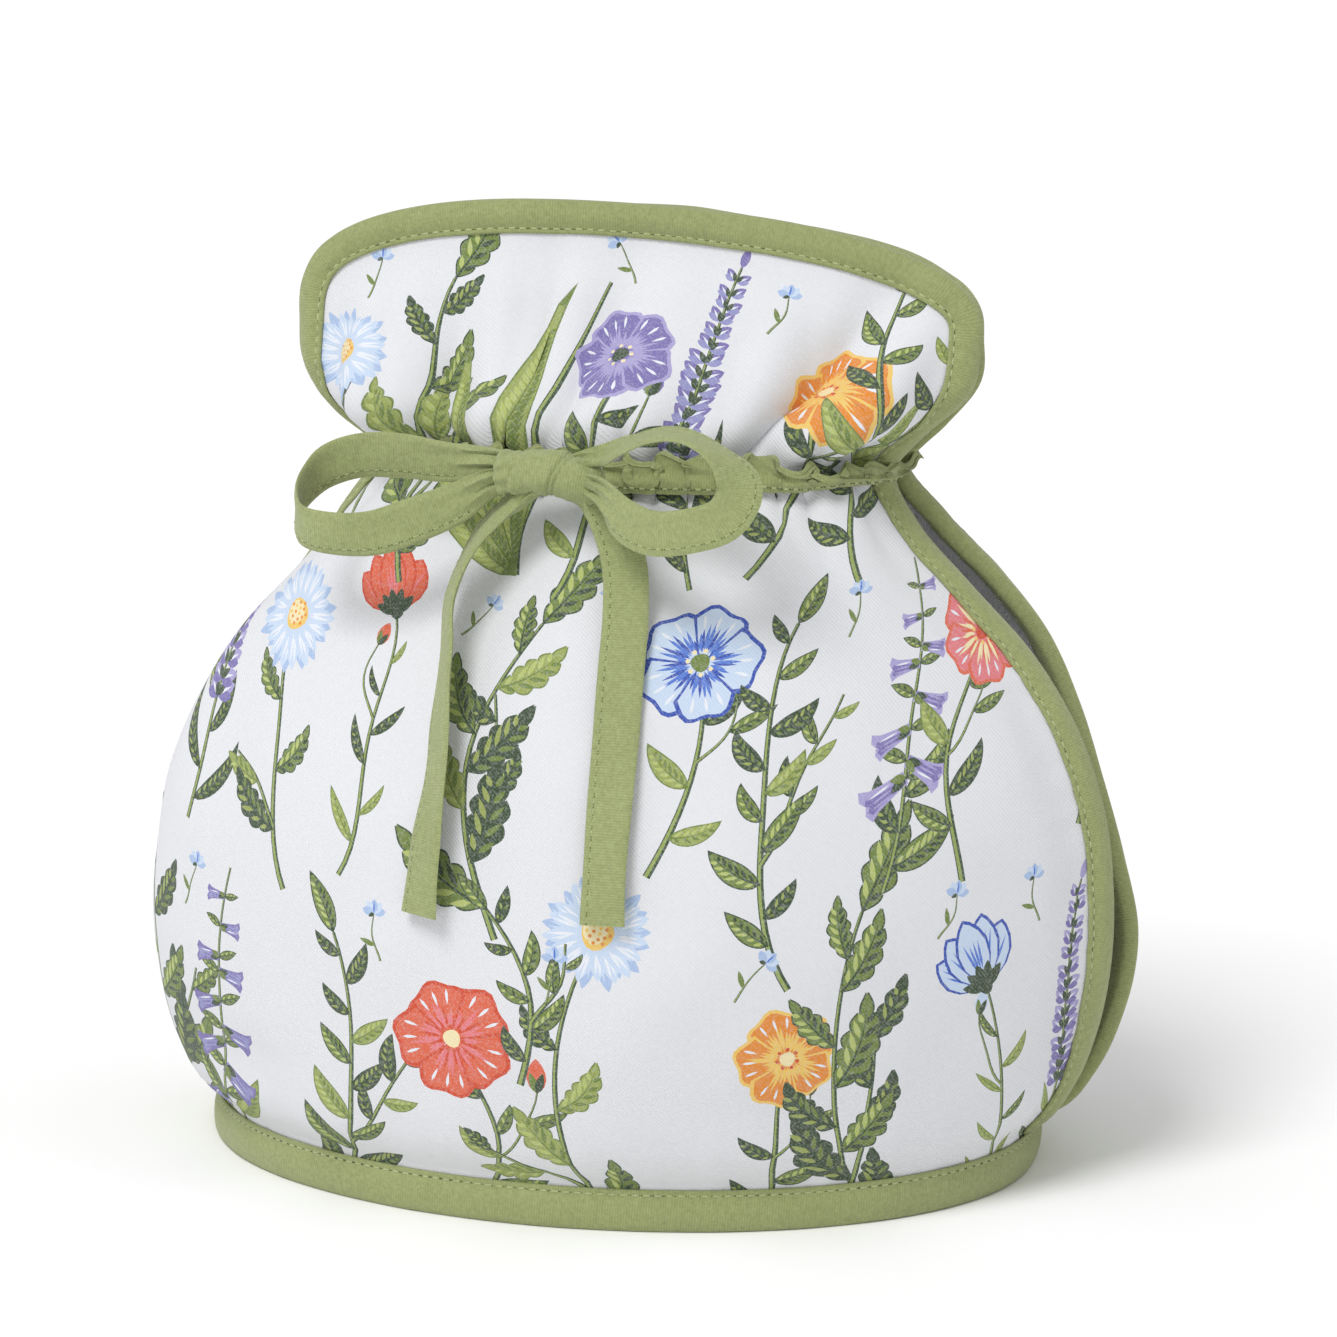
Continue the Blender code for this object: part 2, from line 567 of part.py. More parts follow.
def strap_rings(middle, width_way, gathered):
    """Rings of a flat strap with soft edges, through its middle line; gathered is 1 where it is bunched."""
    tangent = directions_along(middle)
    width_way = width_way - tangent * (width_way * tangent).sum(axis=1)[:, None]
    width_way /= np.linalg.norm(width_way, axis=1)[:, None]
    face = np.cross(tangent, width_way)
    profile = ((-0.50, 0.0), (-0.44, -0.5), (0.44, -0.5), (0.50, 0.0), (0.44, 0.5), (-0.44, 0.5))
    wide = (STRAP_WIDTH * (1 - 0.45 * gathered))[:, None]
    thick = (STRAP_THICKNESS * (1 + 1.0 * gathered))[:, None]
    rings = [middle + width_way * wide * across + face * thick * out for across, out in profile]
    return np.stack(rings, axis=1)


def make_loop(name, rows, steps, finish):
    rows = np.array(rows)
    knots = np.linspace(0, 1, len(rows))
    dense = np.linspace(0, 1, 400)
    place = along(spline(knots, rows[:, :3], dense), steps) / (len(dense) - 1)
    found = spline(knots, rows, place)
    middle = found[:, :3] + np.array([AXIS_X, AXIS_Y, 0])
    gathered = np.exp(-((np.minimum(place, 1 - place) / 0.07) ** 2))
    return make_sweep(name, strap_rings(middle, found[:, 3:], gathered), finish)


def make_end(name, rows, steps, finish):
    rows = np.array(rows)
    found = spline(np.linspace(0, 1, len(rows)), rows, np.linspace(0, 1, steps))
    x, z, turn, lift = found.T
    lift = np.maximum(lift, 0)
    slack = STRAP_CLEARANCE + STRAP_THICKNESS / 2 + STRAP_WIDTH / 2 * np.abs(np.sin(np.radians(turn)))
    y = front_face(x, z) - slack - lift
    # A hanging strap bridges the hollow under the knot: it never swings back in towards the cloth.
    y = np.minimum.accumulate(y)
    lean = (front_face(x + 0.003, z) - front_face(x - 0.003, z)) / 0.006
    angle = np.radians(turn) + np.arctan(lean)
    width_way = np.stack([np.cos(angle), np.sin(angle), np.zeros(steps)], axis=1)
    middle = np.stack([x + AXIS_X, y + AXIS_Y, z], axis=1)
    gathered = np.exp(-((np.linspace(0, 1, steps) / 0.10) ** 2))
    return make_sweep(name, strap_rings(middle, width_way, gathered), finish)


def make_knot(name, finish):
    round_it = np.linspace(0, 2 * math.pi, KNOT_SIDES, endpoint=False)
    rings = []
    for x, radius, depth, rise in KNOT:
        ring = np.stack(
            [
                np.full(KNOT_SIDES, KNOT_X + x + AXIS_X),
                KNOT_Y + AXIS_Y + depth * np.cos(round_it),
                KNOT_Z + rise + radius * np.sin(round_it),
            ],
            axis=1,
        )
        rings.append(ring)
    return make_sweep(name, np.stack(rings), finish)


# ---- Finishes and assembly ----------------------------------------------------------------------------


def make_finish(name, colour, roughness):
    finish = bpy.data.materials.new(name)
    finish.use_nodes = True
    shader = finish.node_tree.nodes["Principled BSDF"]
    shader.inputs["Base Color"].default_value = (*colour, 1)
    shader.inputs["Roughness"].default_value = roughness
    shader.inputs["Metallic"].default_value = 0.0
    return finish


def main():
    for old in list(bpy.data.objects):
        bpy.data.objects.remove(old)
    printed = make_finish("printed_twill", (0.80, 0.80, 0.78), 0.85)
    binding = make_finish("green_binding", (0.34, 0.43, 0.16), 0.80)
    tie = make_finish("green_tie", (0.42, 0.52, 0.23), 0.80)
    make_panel("front_panel", FRONT, printed)
    make_panel("back_panel", BACK, printed)
    make_binding("front_binding", FRONT, binding)
    make_binding("back_binding", BACK, binding)
    make_hem_ring("hem_binding", binding)
    make_casing("neck_casing", binding)
    make_knot("tie_knot", tie)
    make_loop("tie_loop_left", LEFT_LOOP, 26, tie)
    make_loop("tie_loop_right", RIGHT_LOOP, 26, tie)
    make_end("tie_end_left", LEFT_END, 16, tie)
    make_end("tie_end_right", RIGHT_END, 16, tie)


main()
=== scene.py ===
"""The looks of the drawstring tea cosy, in metres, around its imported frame.

The panels' surface is the same as the solids', with finer folds and gathers on it. Each panel is meshed in
flat cloth coordinates, with the printed shapes' outlines as edges of the mesh, and then laid on the surface.
"""

import math

import bpy
import numpy as np
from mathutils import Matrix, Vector
from mathutils.geometry import delaunay_2d_cdt


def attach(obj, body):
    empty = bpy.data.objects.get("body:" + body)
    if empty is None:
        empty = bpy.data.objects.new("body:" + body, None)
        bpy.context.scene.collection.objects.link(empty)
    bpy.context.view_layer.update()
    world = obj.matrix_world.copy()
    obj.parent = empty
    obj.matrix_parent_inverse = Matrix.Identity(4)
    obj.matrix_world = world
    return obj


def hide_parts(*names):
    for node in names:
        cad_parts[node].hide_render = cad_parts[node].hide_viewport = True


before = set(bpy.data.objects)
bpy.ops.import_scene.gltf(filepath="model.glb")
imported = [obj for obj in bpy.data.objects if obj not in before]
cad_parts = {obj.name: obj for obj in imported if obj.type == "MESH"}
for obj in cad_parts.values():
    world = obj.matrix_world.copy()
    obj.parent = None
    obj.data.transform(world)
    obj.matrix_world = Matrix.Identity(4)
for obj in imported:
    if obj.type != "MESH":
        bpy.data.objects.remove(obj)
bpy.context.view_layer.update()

# ---- The same dimensions as the solids' -------------------------------------------------------------
AXIS_X, AXIS_Y = -0.0084, 0.0022
PANEL_THICKNESS, EDGE_THICKNESS = 0.0046, 0.0018
SWELL_START, SWELL_LENGTH = 0.0085, 0.013
BINDING_WIDTH = 0.0068
HEM_HEIGHT, PANEL_FOOT, NECK_HEIGHT, CORNER_HEIGHT = 0.0102, 0.0021, 0.1680, 0.1970
CORNER_POWER = 3.2
CREST_HEIGHT, CREST_PLACE, CREST_DROP, BACK_CREST_DROP = 0.2259, -0.25, 0.005, 0.0028
STRAP_WIDTH, STRAP_THICKNESS, STRAP_CLEARANCE = 0.0102, 0.0017, 0.0020
FRONT, BACK = -1, 1


def rows_of(text):
    """The words of each line."""
    return [line.split() for line in text.strip().splitlines()]


def table_of(units, text):
    """Rows of whole numbers; units says how many of each column's make 1."""
    return np.array(rows_of(text), float) / units


# Height, left half width, depth in 0.1 mm; turn of the left side and curl of the middle of the cloth in
# degrees; then right half width and half gap in 0.1 mm and turn of the right side, of the front and the back.
LEVEL_ROWS = table_of(
    (10000, 10000, 10000, 1, 1, 10000, 10000, 1, 10000, 10000, 1),
    """
    0 973 698 90 0 973 24 90 973 24 90
    102 966 700 90 0 980 26 90 980 26 90
    112 968 701 90 1 983 27 90 983 27 90
    165 1000 733 90 5 1036 40 82 1060 40 82
    230 1015 763 90 9 1080 57 76 1110 57 76
    370 1030 805 90 14 1138 88 60 1170 88 60
    550 1036 835 90 17 1176 118 41 1196 118 41
    730 1026 840 90 18 1180 130 37 1158 130 37
    920 1004 808 90 18 1154 128 37 1104 128 37
    1100 938 742 90 18 1084 112 41 1050 112 41
    1260 838 655 90 16 972 88 53 982 88 53
    1400 725 553 90 12 826 60 67 876 60 70
    1530 632 450 86 6 698 38 76 750 40 79
    1680 566 360 84 0 640 26 82 655 26 82
    1770 672 330 82 0 718 45 79 740 55 79
    1860 735 270 79 0 816 60 79 812 70 79
    1970 752 185 70 0 842 45 74 826 47 74
    2120 752 105 56 0 842 35 64 826 35 64
    2400 752 55 24 0 842 34 24 826 34 24
    """,
)
# As height, left, right, depth, gap, wrap_left, wrap_right and curl.
LEVELS = {FRONT: LEVEL_ROWS[:, [0, 1, 5, 2, 6, 3, 7, 4]], BACK: LEVEL_ROWS[:, [0, 1, 8, 2, 9, 3, 10, 4]]}
# Side, way up or down from the neck, place, lean, spread, crest in 0.1 mm and reach in mm.
FOLDS = table_of(
    (1, 1, 100, 10, 1000, 10000, 1000),
    """
    -1 1 -72 10 85 22 30
    -1 1 -46 40 70 -26 34
    -1 1 -30 20 80 18 30
    -1 1 -13 25 60 -28 40
    -1 1 2 30 80 24 24
    -1 1 30 20 75 -24 20
    -1 1 42 80 80 -30 40
    -1 1 62 80 85 28 36
    -1 -1 -62 -5 80 16 30
    -1 -1 -28 -5 80 -18 34
    -1 -1 0 -3 80 16 38
    -1 -1 24 3 80 -16 30
    -1 -1 50 5 80 16 28
    1 1 -60 20 85 24 34
    1 1 -30 10 80 -28 38
    1 1 4 0 85 26 40
    1 1 36 -10 80 -28 36
    1 1 66 10 85 22 32
    1 -1 -50 -5 85 18 32
    1 -1 -16 0 80 -18 36
    1 -1 18 0 85 18 34
    1 -1 52 5 80 -16 30
    """,
)
# Side, place, height in mm, tilt in degrees, width in 0.1 mm, length in mm and rise in 0.1 mm.
CREASES = table_of(
    (1, 100, 1000, 1, 10000, 1000, 10000),
    """
    -1 -50 182 84 68 14 -35
    -1 -36 189 86 75 17 23
    -1 -22 191 87 68 21 -32
    -1 -2 183 85 90 13 22
    -1 20 174 80 62 9 -27
    -1 38 186 50 75 20 22
    -1 53 186 37 68 26 -38
    -1 72 187 30 75 20 19
    -1 -69 177 -23 60 16 20
    -1 -84 190 70 64 14 -16
    1 -62 186 60 68 20 -32
    1 -40 188 80 75 17 22
    1 -12 190 92 68 22 -35
    1 16 184 90 80 16 22
    1 42 187 112 68 21 -32
    1 70 186 130 70 18 19
    -1 -22 120 78 90 30 -10
    -1 0 118 86 120 34 10
    -1 -62 30 8 70 20 -12
    -1 45 28 -6 80 26 -9
    -1 62 110 55 90 26 -9
    -1 -66 105 -60 100 24 -8
    -1 20 60 20 140 30 7
    1 -30 120 80 100 30 -10
    1 26 110 95 110 32 -10
    1 55 30 8 80 24 -11
    1 -50 45 -12 100 26 8
    """,
)

# ---- Curves and surfaces ----------------------------------------------------------------------------
SECTION_SAMPLES = 161
ACROSS_SAMPLES, HEIGHT_SAMPLES, TOP_HEIGHT = 241, 237, 0.236
HIGHER_ABOVE, HIGHER_BELOW = 1.85, 1.25  # how much higher than the solids' folds, above and below the neck
GATHERS_PER_SIDE, GATHER_ABOVE, GATHER_BELOW = 21, 0.0024, 0.0017


def smooth(x):
    """A soft step from 0 at 0 to 1 at 1."""
    x = np.clip(x, 0, 1)
    return x * x * (3 - 2 * x)


def hump(x):
    """A bell curve, 1 at 0 and nearly 0 from 2 on."""
    return np.exp(-(x**2))


def pairs(a, b):
    """Every pair of a's and b's values, as two lists."""
    return (grid.ravel() for grid in np.meshgrid(a, b))


def unit(vectors):
    return vectors / np.maximum(np.linalg.norm(vectors, axis=-1), 1e-12)[..., None]


def run_along(points):
    """How far along a line each of its points is."""
    return np.concatenate([[0], np.cumsum(np.linalg.norm(np.diff(points, axis=0), axis=1))])


def between(at, places, rows):
    """The rows' values at places between theirs."""
    return np.stack([np.interp(at, places, rows[:, c]) for c in range(3)], axis=1)


def even_places(points, count):
    """count places, evenly spaced by length, as fractional indices of the points."""
    length = run_along(points)
    return np.interp(np.linspace(0, length[-1], count), length, np.arange(len(points)))


def directions_along(points):
    """Unit vectors along a line of points, even where its steps are uneven."""
    steps = unit(np.diff(points, axis=0))
    return unit(np.concatenate([steps[:1], steps[1:] + steps[:-1], steps[-1:]]))


def spline(knots, values, x):
    """A smooth curve through the values at the knots."""
    slopes = np.gradient(values, knots, axis=0)
    k = np.clip(np.searchsorted(knots, x, side="right") - 1, 0, len(knots) - 2)
    width = knots[k + 1] - knots[k]
    u = np.clip((x - knots[k]) / width, 0, 1)
    if np.ndim(values) > 1:
        u, width = u[:, None], width[:, None]
    start = (1 + 2 * u) * (1 - u) ** 2 * values[k] + u * (1 - u) ** 2 * width * slopes[k]
    end = u * u * (3 - 2 * u) * values[k + 1] - u * u * (1 - u) * width * slopes[k + 1]
    return start + end


def outline_point(level, angle):
    """A point of a level's section; angle goes from -90 degrees at the left edge to 90 at the right."""
    left, right, depth, gap, wrap_left, wrap_right, curl = level
    across = np.sin(angle)
    wrap = wrap_left + (wrap_right - wrap_left) * smooth((across + 0.6) / 1.2)
    turn = np.radians(np.minimum(wrap, 90))
    flat = np.cos(turn)
    bulge = (np.sqrt(np.maximum(1 - (np.sin(turn) * across) ** 2, 0)) - flat) / (1 - flat)
    wrapped = angle - np.radians(curl) * smooth((-angle - math.pi / 4) / (math.pi / 4))
    x = (right - left) / 2 + (right + left) / 2 * np.sin(wrapped)
    return x, gap + (depth - gap) * bulge


def level_at(side, z):
    """The measures of a panel's section at height z."""
    table = LEVELS[side]
    return [spline(table[:, 0], table[:, c], z) for c in range(1, table.shape[1])]


def section(side, s, z):
    """The middle of the cloth; s goes by length from -1 at the left edge to 1 at the right edge."""
    level = [column[:, None] for column in level_at(side, z)]
    angle = np.broadcast_to(np.linspace(-math.pi / 2, math.pi / 2, SECTION_SAMPLES), (len(z), SECTION_SAMPLES))
    x, y = outline_point(level, angle)
    length = np.cumsum(np.hypot(np.diff(x), np.diff(y)), axis=1)
    length = np.hstack([np.zeros((len(z), 1)), length])
    wanted = (s[:, None] + 1) / 2 * length[:, -1:]
    k = np.clip((length < wanted).sum(axis=1) - 1, 0, SECTION_SAMPLES - 2)[:, None]
    low, high = np.take_along_axis(length, k, 1), np.take_along_axis(length, k + 1, 1)
    found = -math.pi / 2 + math.pi / (SECTION_SAMPLES - 1) * (k + (wanted - low) / (high - low))
    x, y = outline_point(level, found)
    return np.stack([AXIS_X + x[:, 0], AXIS_Y + side * y[:, 0], z], axis=1)


def waves(x, y, seed):
    """Smooth uneven noise between about -1 and 1."""
    chance, count = np.random.default_rng(seed), 9
    total = np.zeros(np.broadcast(x, y).shape)
    for _ in range(count):
        heading, pace, start = (chance.uniform(*ends) for ends in ((0, 2 * math.pi), (0.6, 1.5), (0, 7)))
        total += np.sin((x * math.cos(heading) + y * math.sin(heading)) * pace + start)
    return total / math.sqrt(count)


def fold_height(side, s, z):
    """The main folds, as on the solids, but higher."""
    total = np.zeros(len(s))
    for way, place, lean, spread, crest, far in FOLDS[FOLDS[:, 0] == side, 1:]:
        away = np.maximum((z - NECK_HEIGHT) * way, 0)
        middle = place + lean * (z - NECK_HEIGHT)
        wide = spread * (1 + away / 0.050)
        rise = (1 - hump(away / 0.009)) * hump(away / far)
        total += crest * rise * hump((s - middle) / wide) * (HIGHER_ABOVE if way > 0 else HIGHER_BELOW)
    return total * smooth((0.95 - np.abs(s)) / 0.18)


def gathers(side, s, z):
    """The short puckers above and below the casing, each of its own place, length and height."""
    chance = np.random.default_rng(11 if side == FRONT else 12)
    total = np.zeros(len(s))
    for way, high in ((1, GATHER_ABOVE), (-1, GATHER_BELOW)):
        places = np.linspace(-0.93, 0.93, GATHERS_PER_SIDE) + chance.uniform(-0.022, 0.022, GATHERS_PER_SIDE)
        away = (z - NECK_HEIGHT - 0.002) * way
        for place in places:
            reach = chance.uniform(0.007, 0.024)
            lean = chance.uniform(-3.0, 3.0) + place * 1.5 * way
            wide = chance.uniform(0.024, 0.040)
            tall = high * chance.uniform(0.5, 1.25)
            middle = place + lean * away * way * 0.5
            fade = np.exp(-((np.maximum(away, 0) / reach) ** 1.6)) * smooth((away + 0.010) / 0.006)
            total -= tall * fade * hump((s - middle) / (wide * (1 + 14 * np.maximum(away, 0))))
    roll = 0.0016 * hump((z - 0.1785) / 0.0052) - 0.0008 * hump((z - 0.1705) / 0.0040)
    return (total + roll) * smooth((0.965 - np.abs(s)) / 0.08)


def creases(side, s, z):
    """Soft unevenness of padded cloth, the creases and the puckers along the sewn edges."""
    calm = smooth((0.96 - np.abs(s)) / 0.12) * smooth((z - 0.012) / 0.012)
    total = 0.00045 * waves(s * 9, z * 75, 3 + side) * calm
    total += 0.00022 * waves(s * 24, z * 190, 5 + side) * calm
    for place, height, tilt, wide, tall, deep in CREASES[CREASES[:, 0] == side, 1:]:
        c, d = math.cos(math.radians(tilt)), math.sin(math.radians(tilt))
        x, y = (s - place) * 0.14, z - height
        along, across = x * c + y * d, -x * d + y * c
        total += deep * np.exp(-((along / tall) ** 2) - (across / wide) ** 2) * calm
    near_edge = hump(((1 - np.abs(s)) * 0.15 - 0.010) / 0.005) * smooth((z - 0.015) / 0.02)
    total += 0.00022 * np.sin(z * 640 + 2.0 * np.sin(z * 210 + side)) * near_edge
    total += 0.00025 * np.sin(s * 92 + 2.2 * np.sin(s * 31 + side)) * hump((z - 0.016) / 0.006)
    return total


class Surface:
    """The middle of one panel's cloth, looked up on a fine grid of (s, z)."""

    def __init__(self, side):
        self.side = side
        self.s = np.linspace(-1, 1, ACROSS_SAMPLES)
        self.z = np.linspace(0, TOP_HEIGHT, HEIGHT_SAMPLES)
        s, z = pairs(self.s, self.z)
        base = section(side, s, z).reshape(len(self.z), len(self.s), 3)
        self.length = np.linalg.norm(np.diff(base, axis=1), axis=2).sum(axis=1)  # side to side, by height
        self.climb = run_along(base[:, len(self.s) // 2])  # up the middle of the panel
        out = self.normal_grid(base)
        lift = (fold_height(side, s, z) + gathers(side, s, z) + creases(side, s, z)).reshape(base.shape[:2])
        for _ in range(3):  # no fold is sharper than the mesh can follow
            wide = np.pad(lift, 1, mode="edge")
            lift = lift * 0.5 + (wide[1:-1, :-2] + wide[1:-1, 2:] + wide[:-2, 1:-1] + wide[2:, 1:-1]) * 0.125
        self.grid = base + out * lift[..., None]
        self.normals = self.normal_grid(self.grid)
        # the outer and inner faces of the cloth, and their normals
        half = self.thickness(s, z).reshape(base.shape[:2])[..., None] / 2
        self.outer, self.inner = self.grid + self.normals * half, self.grid - self.normals * half
        self.outer_normals, self.inner_normals = self.normal_grid(self.outer), -self.normal_grid(self.inner)

    def normal_grid(self, grid):
        across = np.gradient(grid, self.s, axis=1)
        up = np.gradient(grid, self.z, axis=0)
        return unit(np.cross(across, up) * -self.side)

    def look_up(self, table, s, z):
        """Bicubic lookup."""
        i = (np.clip(s, -1, 1) + 1) / 2 * (len(self.s) - 1)
        j = np.clip(z, 0, self.z[-1]) / self.z[-1] * (len(self.z) - 1)
        i0 = np.clip(i.astype(int), 0, len(self.s) - 2)
        j0 = np.clip(j.astype(int), 0, len(self.z) - 2)
        weights = [
            (
                ((-0.5 * part + 1) * part - 0.5) * part,
                (1.5 * part - 2.5) * part * part + 1,
                ((-1.5 * part + 2) * part + 0.5) * part,
                (0.5 * part - 0.5) * part * part,
            )
            for part in (i - i0, j - j0)
        ]
        total = 0
        for b in range(4):
            row = np.clip(j0 + b - 1, 0, len(self.z) - 1)
            for a in range(4):
                column = np.clip(i0 + a - 1, 0, len(self.s) - 1)
                total = total + table[row, column] * (weights[0][a] * weights[1][b])[:, None]
        return total

    def point(self, s, z):
        return self.look_up(self.grid, s, z)

    def normal(self, s, z):
        return unit(self.look_up(self.normals, s, z))

    def flat(self, s, z):
        """Flat cloth coordinates of (s, z)."""
        return s * np.interp(z, self.z, self.length) / 2, np.interp(z, self.z, self.climb)

    def unflat(self, u, v):
        z = np.interp(v, self.climb, self.z)
        return np.clip(2 * u / np.interp(z, self.z, self.length), -1, 1), z

    def rim(self, foot, step):
        """(s, z) in even steps up the left side, over the top and down the right side."""
        rise = np.linspace(foot, CORNER_HEIGHT, 160)[:-1]
        turn = np.linspace(-math.pi / 2, math.pi / 2, 801)
        s_top = np.sign(turn) * np.abs(np.sin(turn)) ** (2 / CORNER_POWER)
        drop = np.maximum(np.cos(turn), 0) ** (2 / CORNER_POWER)
        crest = CREST_HEIGHT - CREST_DROP * (s_top - CREST_PLACE) ** 2
        crest = crest - (BACK_CREST_DROP if self.side == BACK else 0)
        z_top = CORNER_HEIGHT + (crest - CORNER_HEIGHT) * drop
        s = np.concatenate([np.full(len(rise), -1.0), s_top, np.full(len(rise), 1.0)])
        z = np.concatenate([rise, z_top, rise[::-1]])
        points, index = self.point(s, z), np.arange(len(s))
        total = np.linalg.norm(np.diff(points, axis=0), axis=1).sum()
        place = even_places(points, max(int(total / step), 8))
        return np.interp(place, index, s), np.interp(place, index, z)

    def thickness(self, s, z):
        edge = self.point(*self.rim(PANEL_FOOT, 0.0025))
        points = self.point(s, z)
        apart = np.full(len(points), 9.0)
        for k in range(0, len(edge), 40):
            part = edge[k : k + 40]
            apart = np.minimum(apart, ((points[:, None] - part[None]) ** 2).sum(axis=2).min(axis=1))
        swell = smooth((np.sqrt(apart) - SWELL_START) / SWELL_LENGTH) * smooth((z - 0.0115) / 0.010)
        swell *= 1 - 0.45 * hump((z - NECK_HEIGHT) / 0.007)
        return EDGE_THICKNESS + (PANEL_THICKNESS - EDGE_THICKNESS) * swell

    def walk_in(self, s, z, heading, distance, steps):
        """Walks over the cloth from its edge; (s, z) at the start and after each step."""
        found = [(s, z)]
        ds, dz = 0.006, 0.0008
        for _ in range(steps):
            low, high = np.maximum(s - ds, -1), np.minimum(s + ds, 1)
            across = (self.point(high, z) - self.point(low, z)) / (high - low)[:, None]
            up = (self.point(s, z + dz) - self.point(s, z - dz)) / (2 * dz)
            matrix = np.stack([across, up], axis=2)
            square = np.einsum("nij,nik->njk", matrix, matrix)
            aim = np.einsum("nij,ni->nj", matrix, heading)[:, :, None]
            move = np.linalg.solve(square, aim)[:, :, 0]
            real = np.linalg.norm(np.einsum("nij,nj->ni", matrix, move), axis=1)
            move *= (distance / steps / real)[:, None]
            s, z = np.clip(s + move[:, 0], -1, 1), z + move[:, 1]
            found.append((s, z))
        return np.array(found).transpose(1, 0, 2)

# ---- The print: general meadow flowers, drawn in flat cloth millimetres ------------------------------
# The inks of the print and the cloth; the lining's ink is lighter than the cloth's, as painted light on the shaded
# inside of the panels
INKS = {
    name: [int(level) for level in ink]
    for name, *ink in rows_of(
        """
        cloth 221 222 226
        leaf 64 80 58
        leaf_mid 112 130 66
        leaf_pale 150 162 88
        vein 176 188 110
        stem 146 162 88
        stem_deep 66 84 62
        white 226 230 238
        sky 196 212 234
        pale_blue 166 188 222
        blue 86 122 206
        deep_blue 58 84 172
        lilac 166 158 204
        violet 124 114 172
        mauve 146 146 194
        yellow 232 194 102
        orange 222 138 54
        red 204 76 46
        coral 216 102 74
        pink 222 122 128
        cream 236 222 176
        lining 244 244 247
        """
    )
}
INK_NAMES = list(INKS)
# Of a leaf: rim, inside, bright strokes and dark strokes.
LEAF_INKS = {
    "leaf": ("leaf", "leaf_mid", "vein", "leaf"),
    "leaf_mid": ("leaf_mid", "leaf_pale", "vein", "leaf_mid"),
    "leaf_dark": ("leaf", "leaf", "leaf_pale", "leaf_mid"),
}
# Of a flower: edge, petals, veins, heart and dots.
FLOWER_INKS = {
    name: inks
    for name, *inks in rows_of(
        """
        blue deep_blue sky blue leaf_mid cream
        sky pale_blue sky pale_blue yellow orange
        red red coral pink cream red
        pink coral pink cream red yellow
        gold yellow orange yellow cream red
        lemon orange yellow orange leaf_mid cream
        lilac lilac violet lilac leaf cream
        mauve violet mauve violet leaf cream
        none leaf leaf_mid vein leaf vein
        """
    )
}
REPEAT_X, REPEAT_Y = 300.0, 262.0
# The plants of the print's repeat: kind, root, heading in degrees, length, bend, size of its flowers and ink.
PLANTS = """
fern -122 -8 68 92 44 18.0 none
bells -88 -4 104 84 -34 10.0 mauve
branch -60 -10 52 84 66 15.0 none
blossom -26 -10 58 66 56 14.5 red
daisy 20 -10 124 92 -62 13.2 sky
blossom 50 -8 96 56 -26 12.0 gold
fern 76 -10 116 92 -50 17.0 none
cup 104 -6 66 66 48 12.0 blue
spike 136 -4 108 84 -34 5.4 lilac
branch -142 60 62 60 50 12.0 none
blossom -130 84 92 54 -30 14.0 blue
spike -100 88 74 76 34 5.4 lilac
daisy -66 78 116 62 -40 13.2 sky
cup -50 84 60 62 50 11.0 red
fern -10 74 112 76 -54 15.0 none
blossom 24 90 62 50 44 14.5 blue
branch 56 64 120 84 -56 13.5 none
bells 78 84 70 76 34 9.0 lilac
blossom 98 84 102 58 -36 13.2 pink
blossom 132 92 74 42 30 12.0 lemon
branch -116 158 74 66 40 13.5 none
daisy -72 164 98 46 -32 12.6 sky
fern -44 152 112 80 -50 15.0 none
blades -14 158 98 76 -32 8.4 none
blossom -4 152 64 62 44 13.0 lilac
spike 26 156 106 82 -34 5.6 mauve
blossom 38 158 52 50 50 12.6 gold
branch 66 154 114 84 -50 14.0 none
blades 84 164 62 66 40 7.8 none
cup 98 154 104 54 -30 11.0 red
daisy 128 156 106 60 -36 12.6 sky
branch -4 40 74 44 60 10.5 none
sprig -100 68 60 11 20 3.2 sky
sprig -38 66 110 11 -20 3.2 sky
sprig 2 60 70 11 20 3.2 sky
sprig 44 62 60 11 -20 3.2 sky
sprig 92 72 50 11 30 3.2 sky
sprig 120 72 110 11 -20 3.0 sky
sprig -86 150 80 11 20 3.0 sky
sprig -26 142 40 11 20 3.0 sky
sprig 12 144 96 11 20 3.2 sky
sprig 64 142 70 11 20 3.1 sky
sprig 112 146 110 10 20 3.0 sky
sprig -62 224 70 11 20 3.0 sky
sprig 2 232 110 11 20 3.0 sky
sprig 34 220 60 11 20 3.0 sky
sprig 66 240 80 10 20 3.0 sky
"""
STREAK = np.array([(0.0, 0.0), (0.3, 0.5), (0.65, 0.42), (1.0, 0.0), (0.65, -0.36), (0.3, -0.45)])
FLIPPED = (1, -1)


def ways(angle):
    """Unit vectors at these angles."""
    return np.stack([np.cos(angle), np.sin(angle)], axis=1)


def left_of(way):
    """Unit vectors square to these, on their left."""
    return np.stack([-way[:, 1], way[:, 0]], axis=1)


def path_of(x, y, steps):
    """The points that these steps reach from (x, y)."""
    return np.concatenate([[(x, y)], (x, y) + np.cumsum(steps, axis=0)])


def off(x, y, lean, reach):
    """The point at this reach and lean (in radians) from (x, y)."""
    return x + reach * math.cos(lean), y + reach * math.sin(lean)


def arc(x, y, angle, reach):
    """The points at these angles and this reach from (x, y)."""
    return np.stack([x + reach * np.cos(angle), y + reach * np.sin(angle)], axis=1)


def turns(count):
    """count angles round a full turn."""
    return np.linspace(0, 2 * math.pi, count, endpoint=False)


def spun(points, x, y, lean):
    """Points turned by lean in radians about the origin, and moved to (x, y)."""
    c, s = math.cos(lean), math.sin(lean)
    return np.stack([x + points[:, 0] * c - points[:, 1] * s, y + points[:, 0] * s + points[:, 1] * c], axis=1)


def anticlockwise(points):
    ends = np.roll(points, -1, axis=0)
    area = (points[:, 0] * ends[:, 1] - points[:, 1] * ends[:, 0]).sum()
    return points[::-1] if area < 0 else points


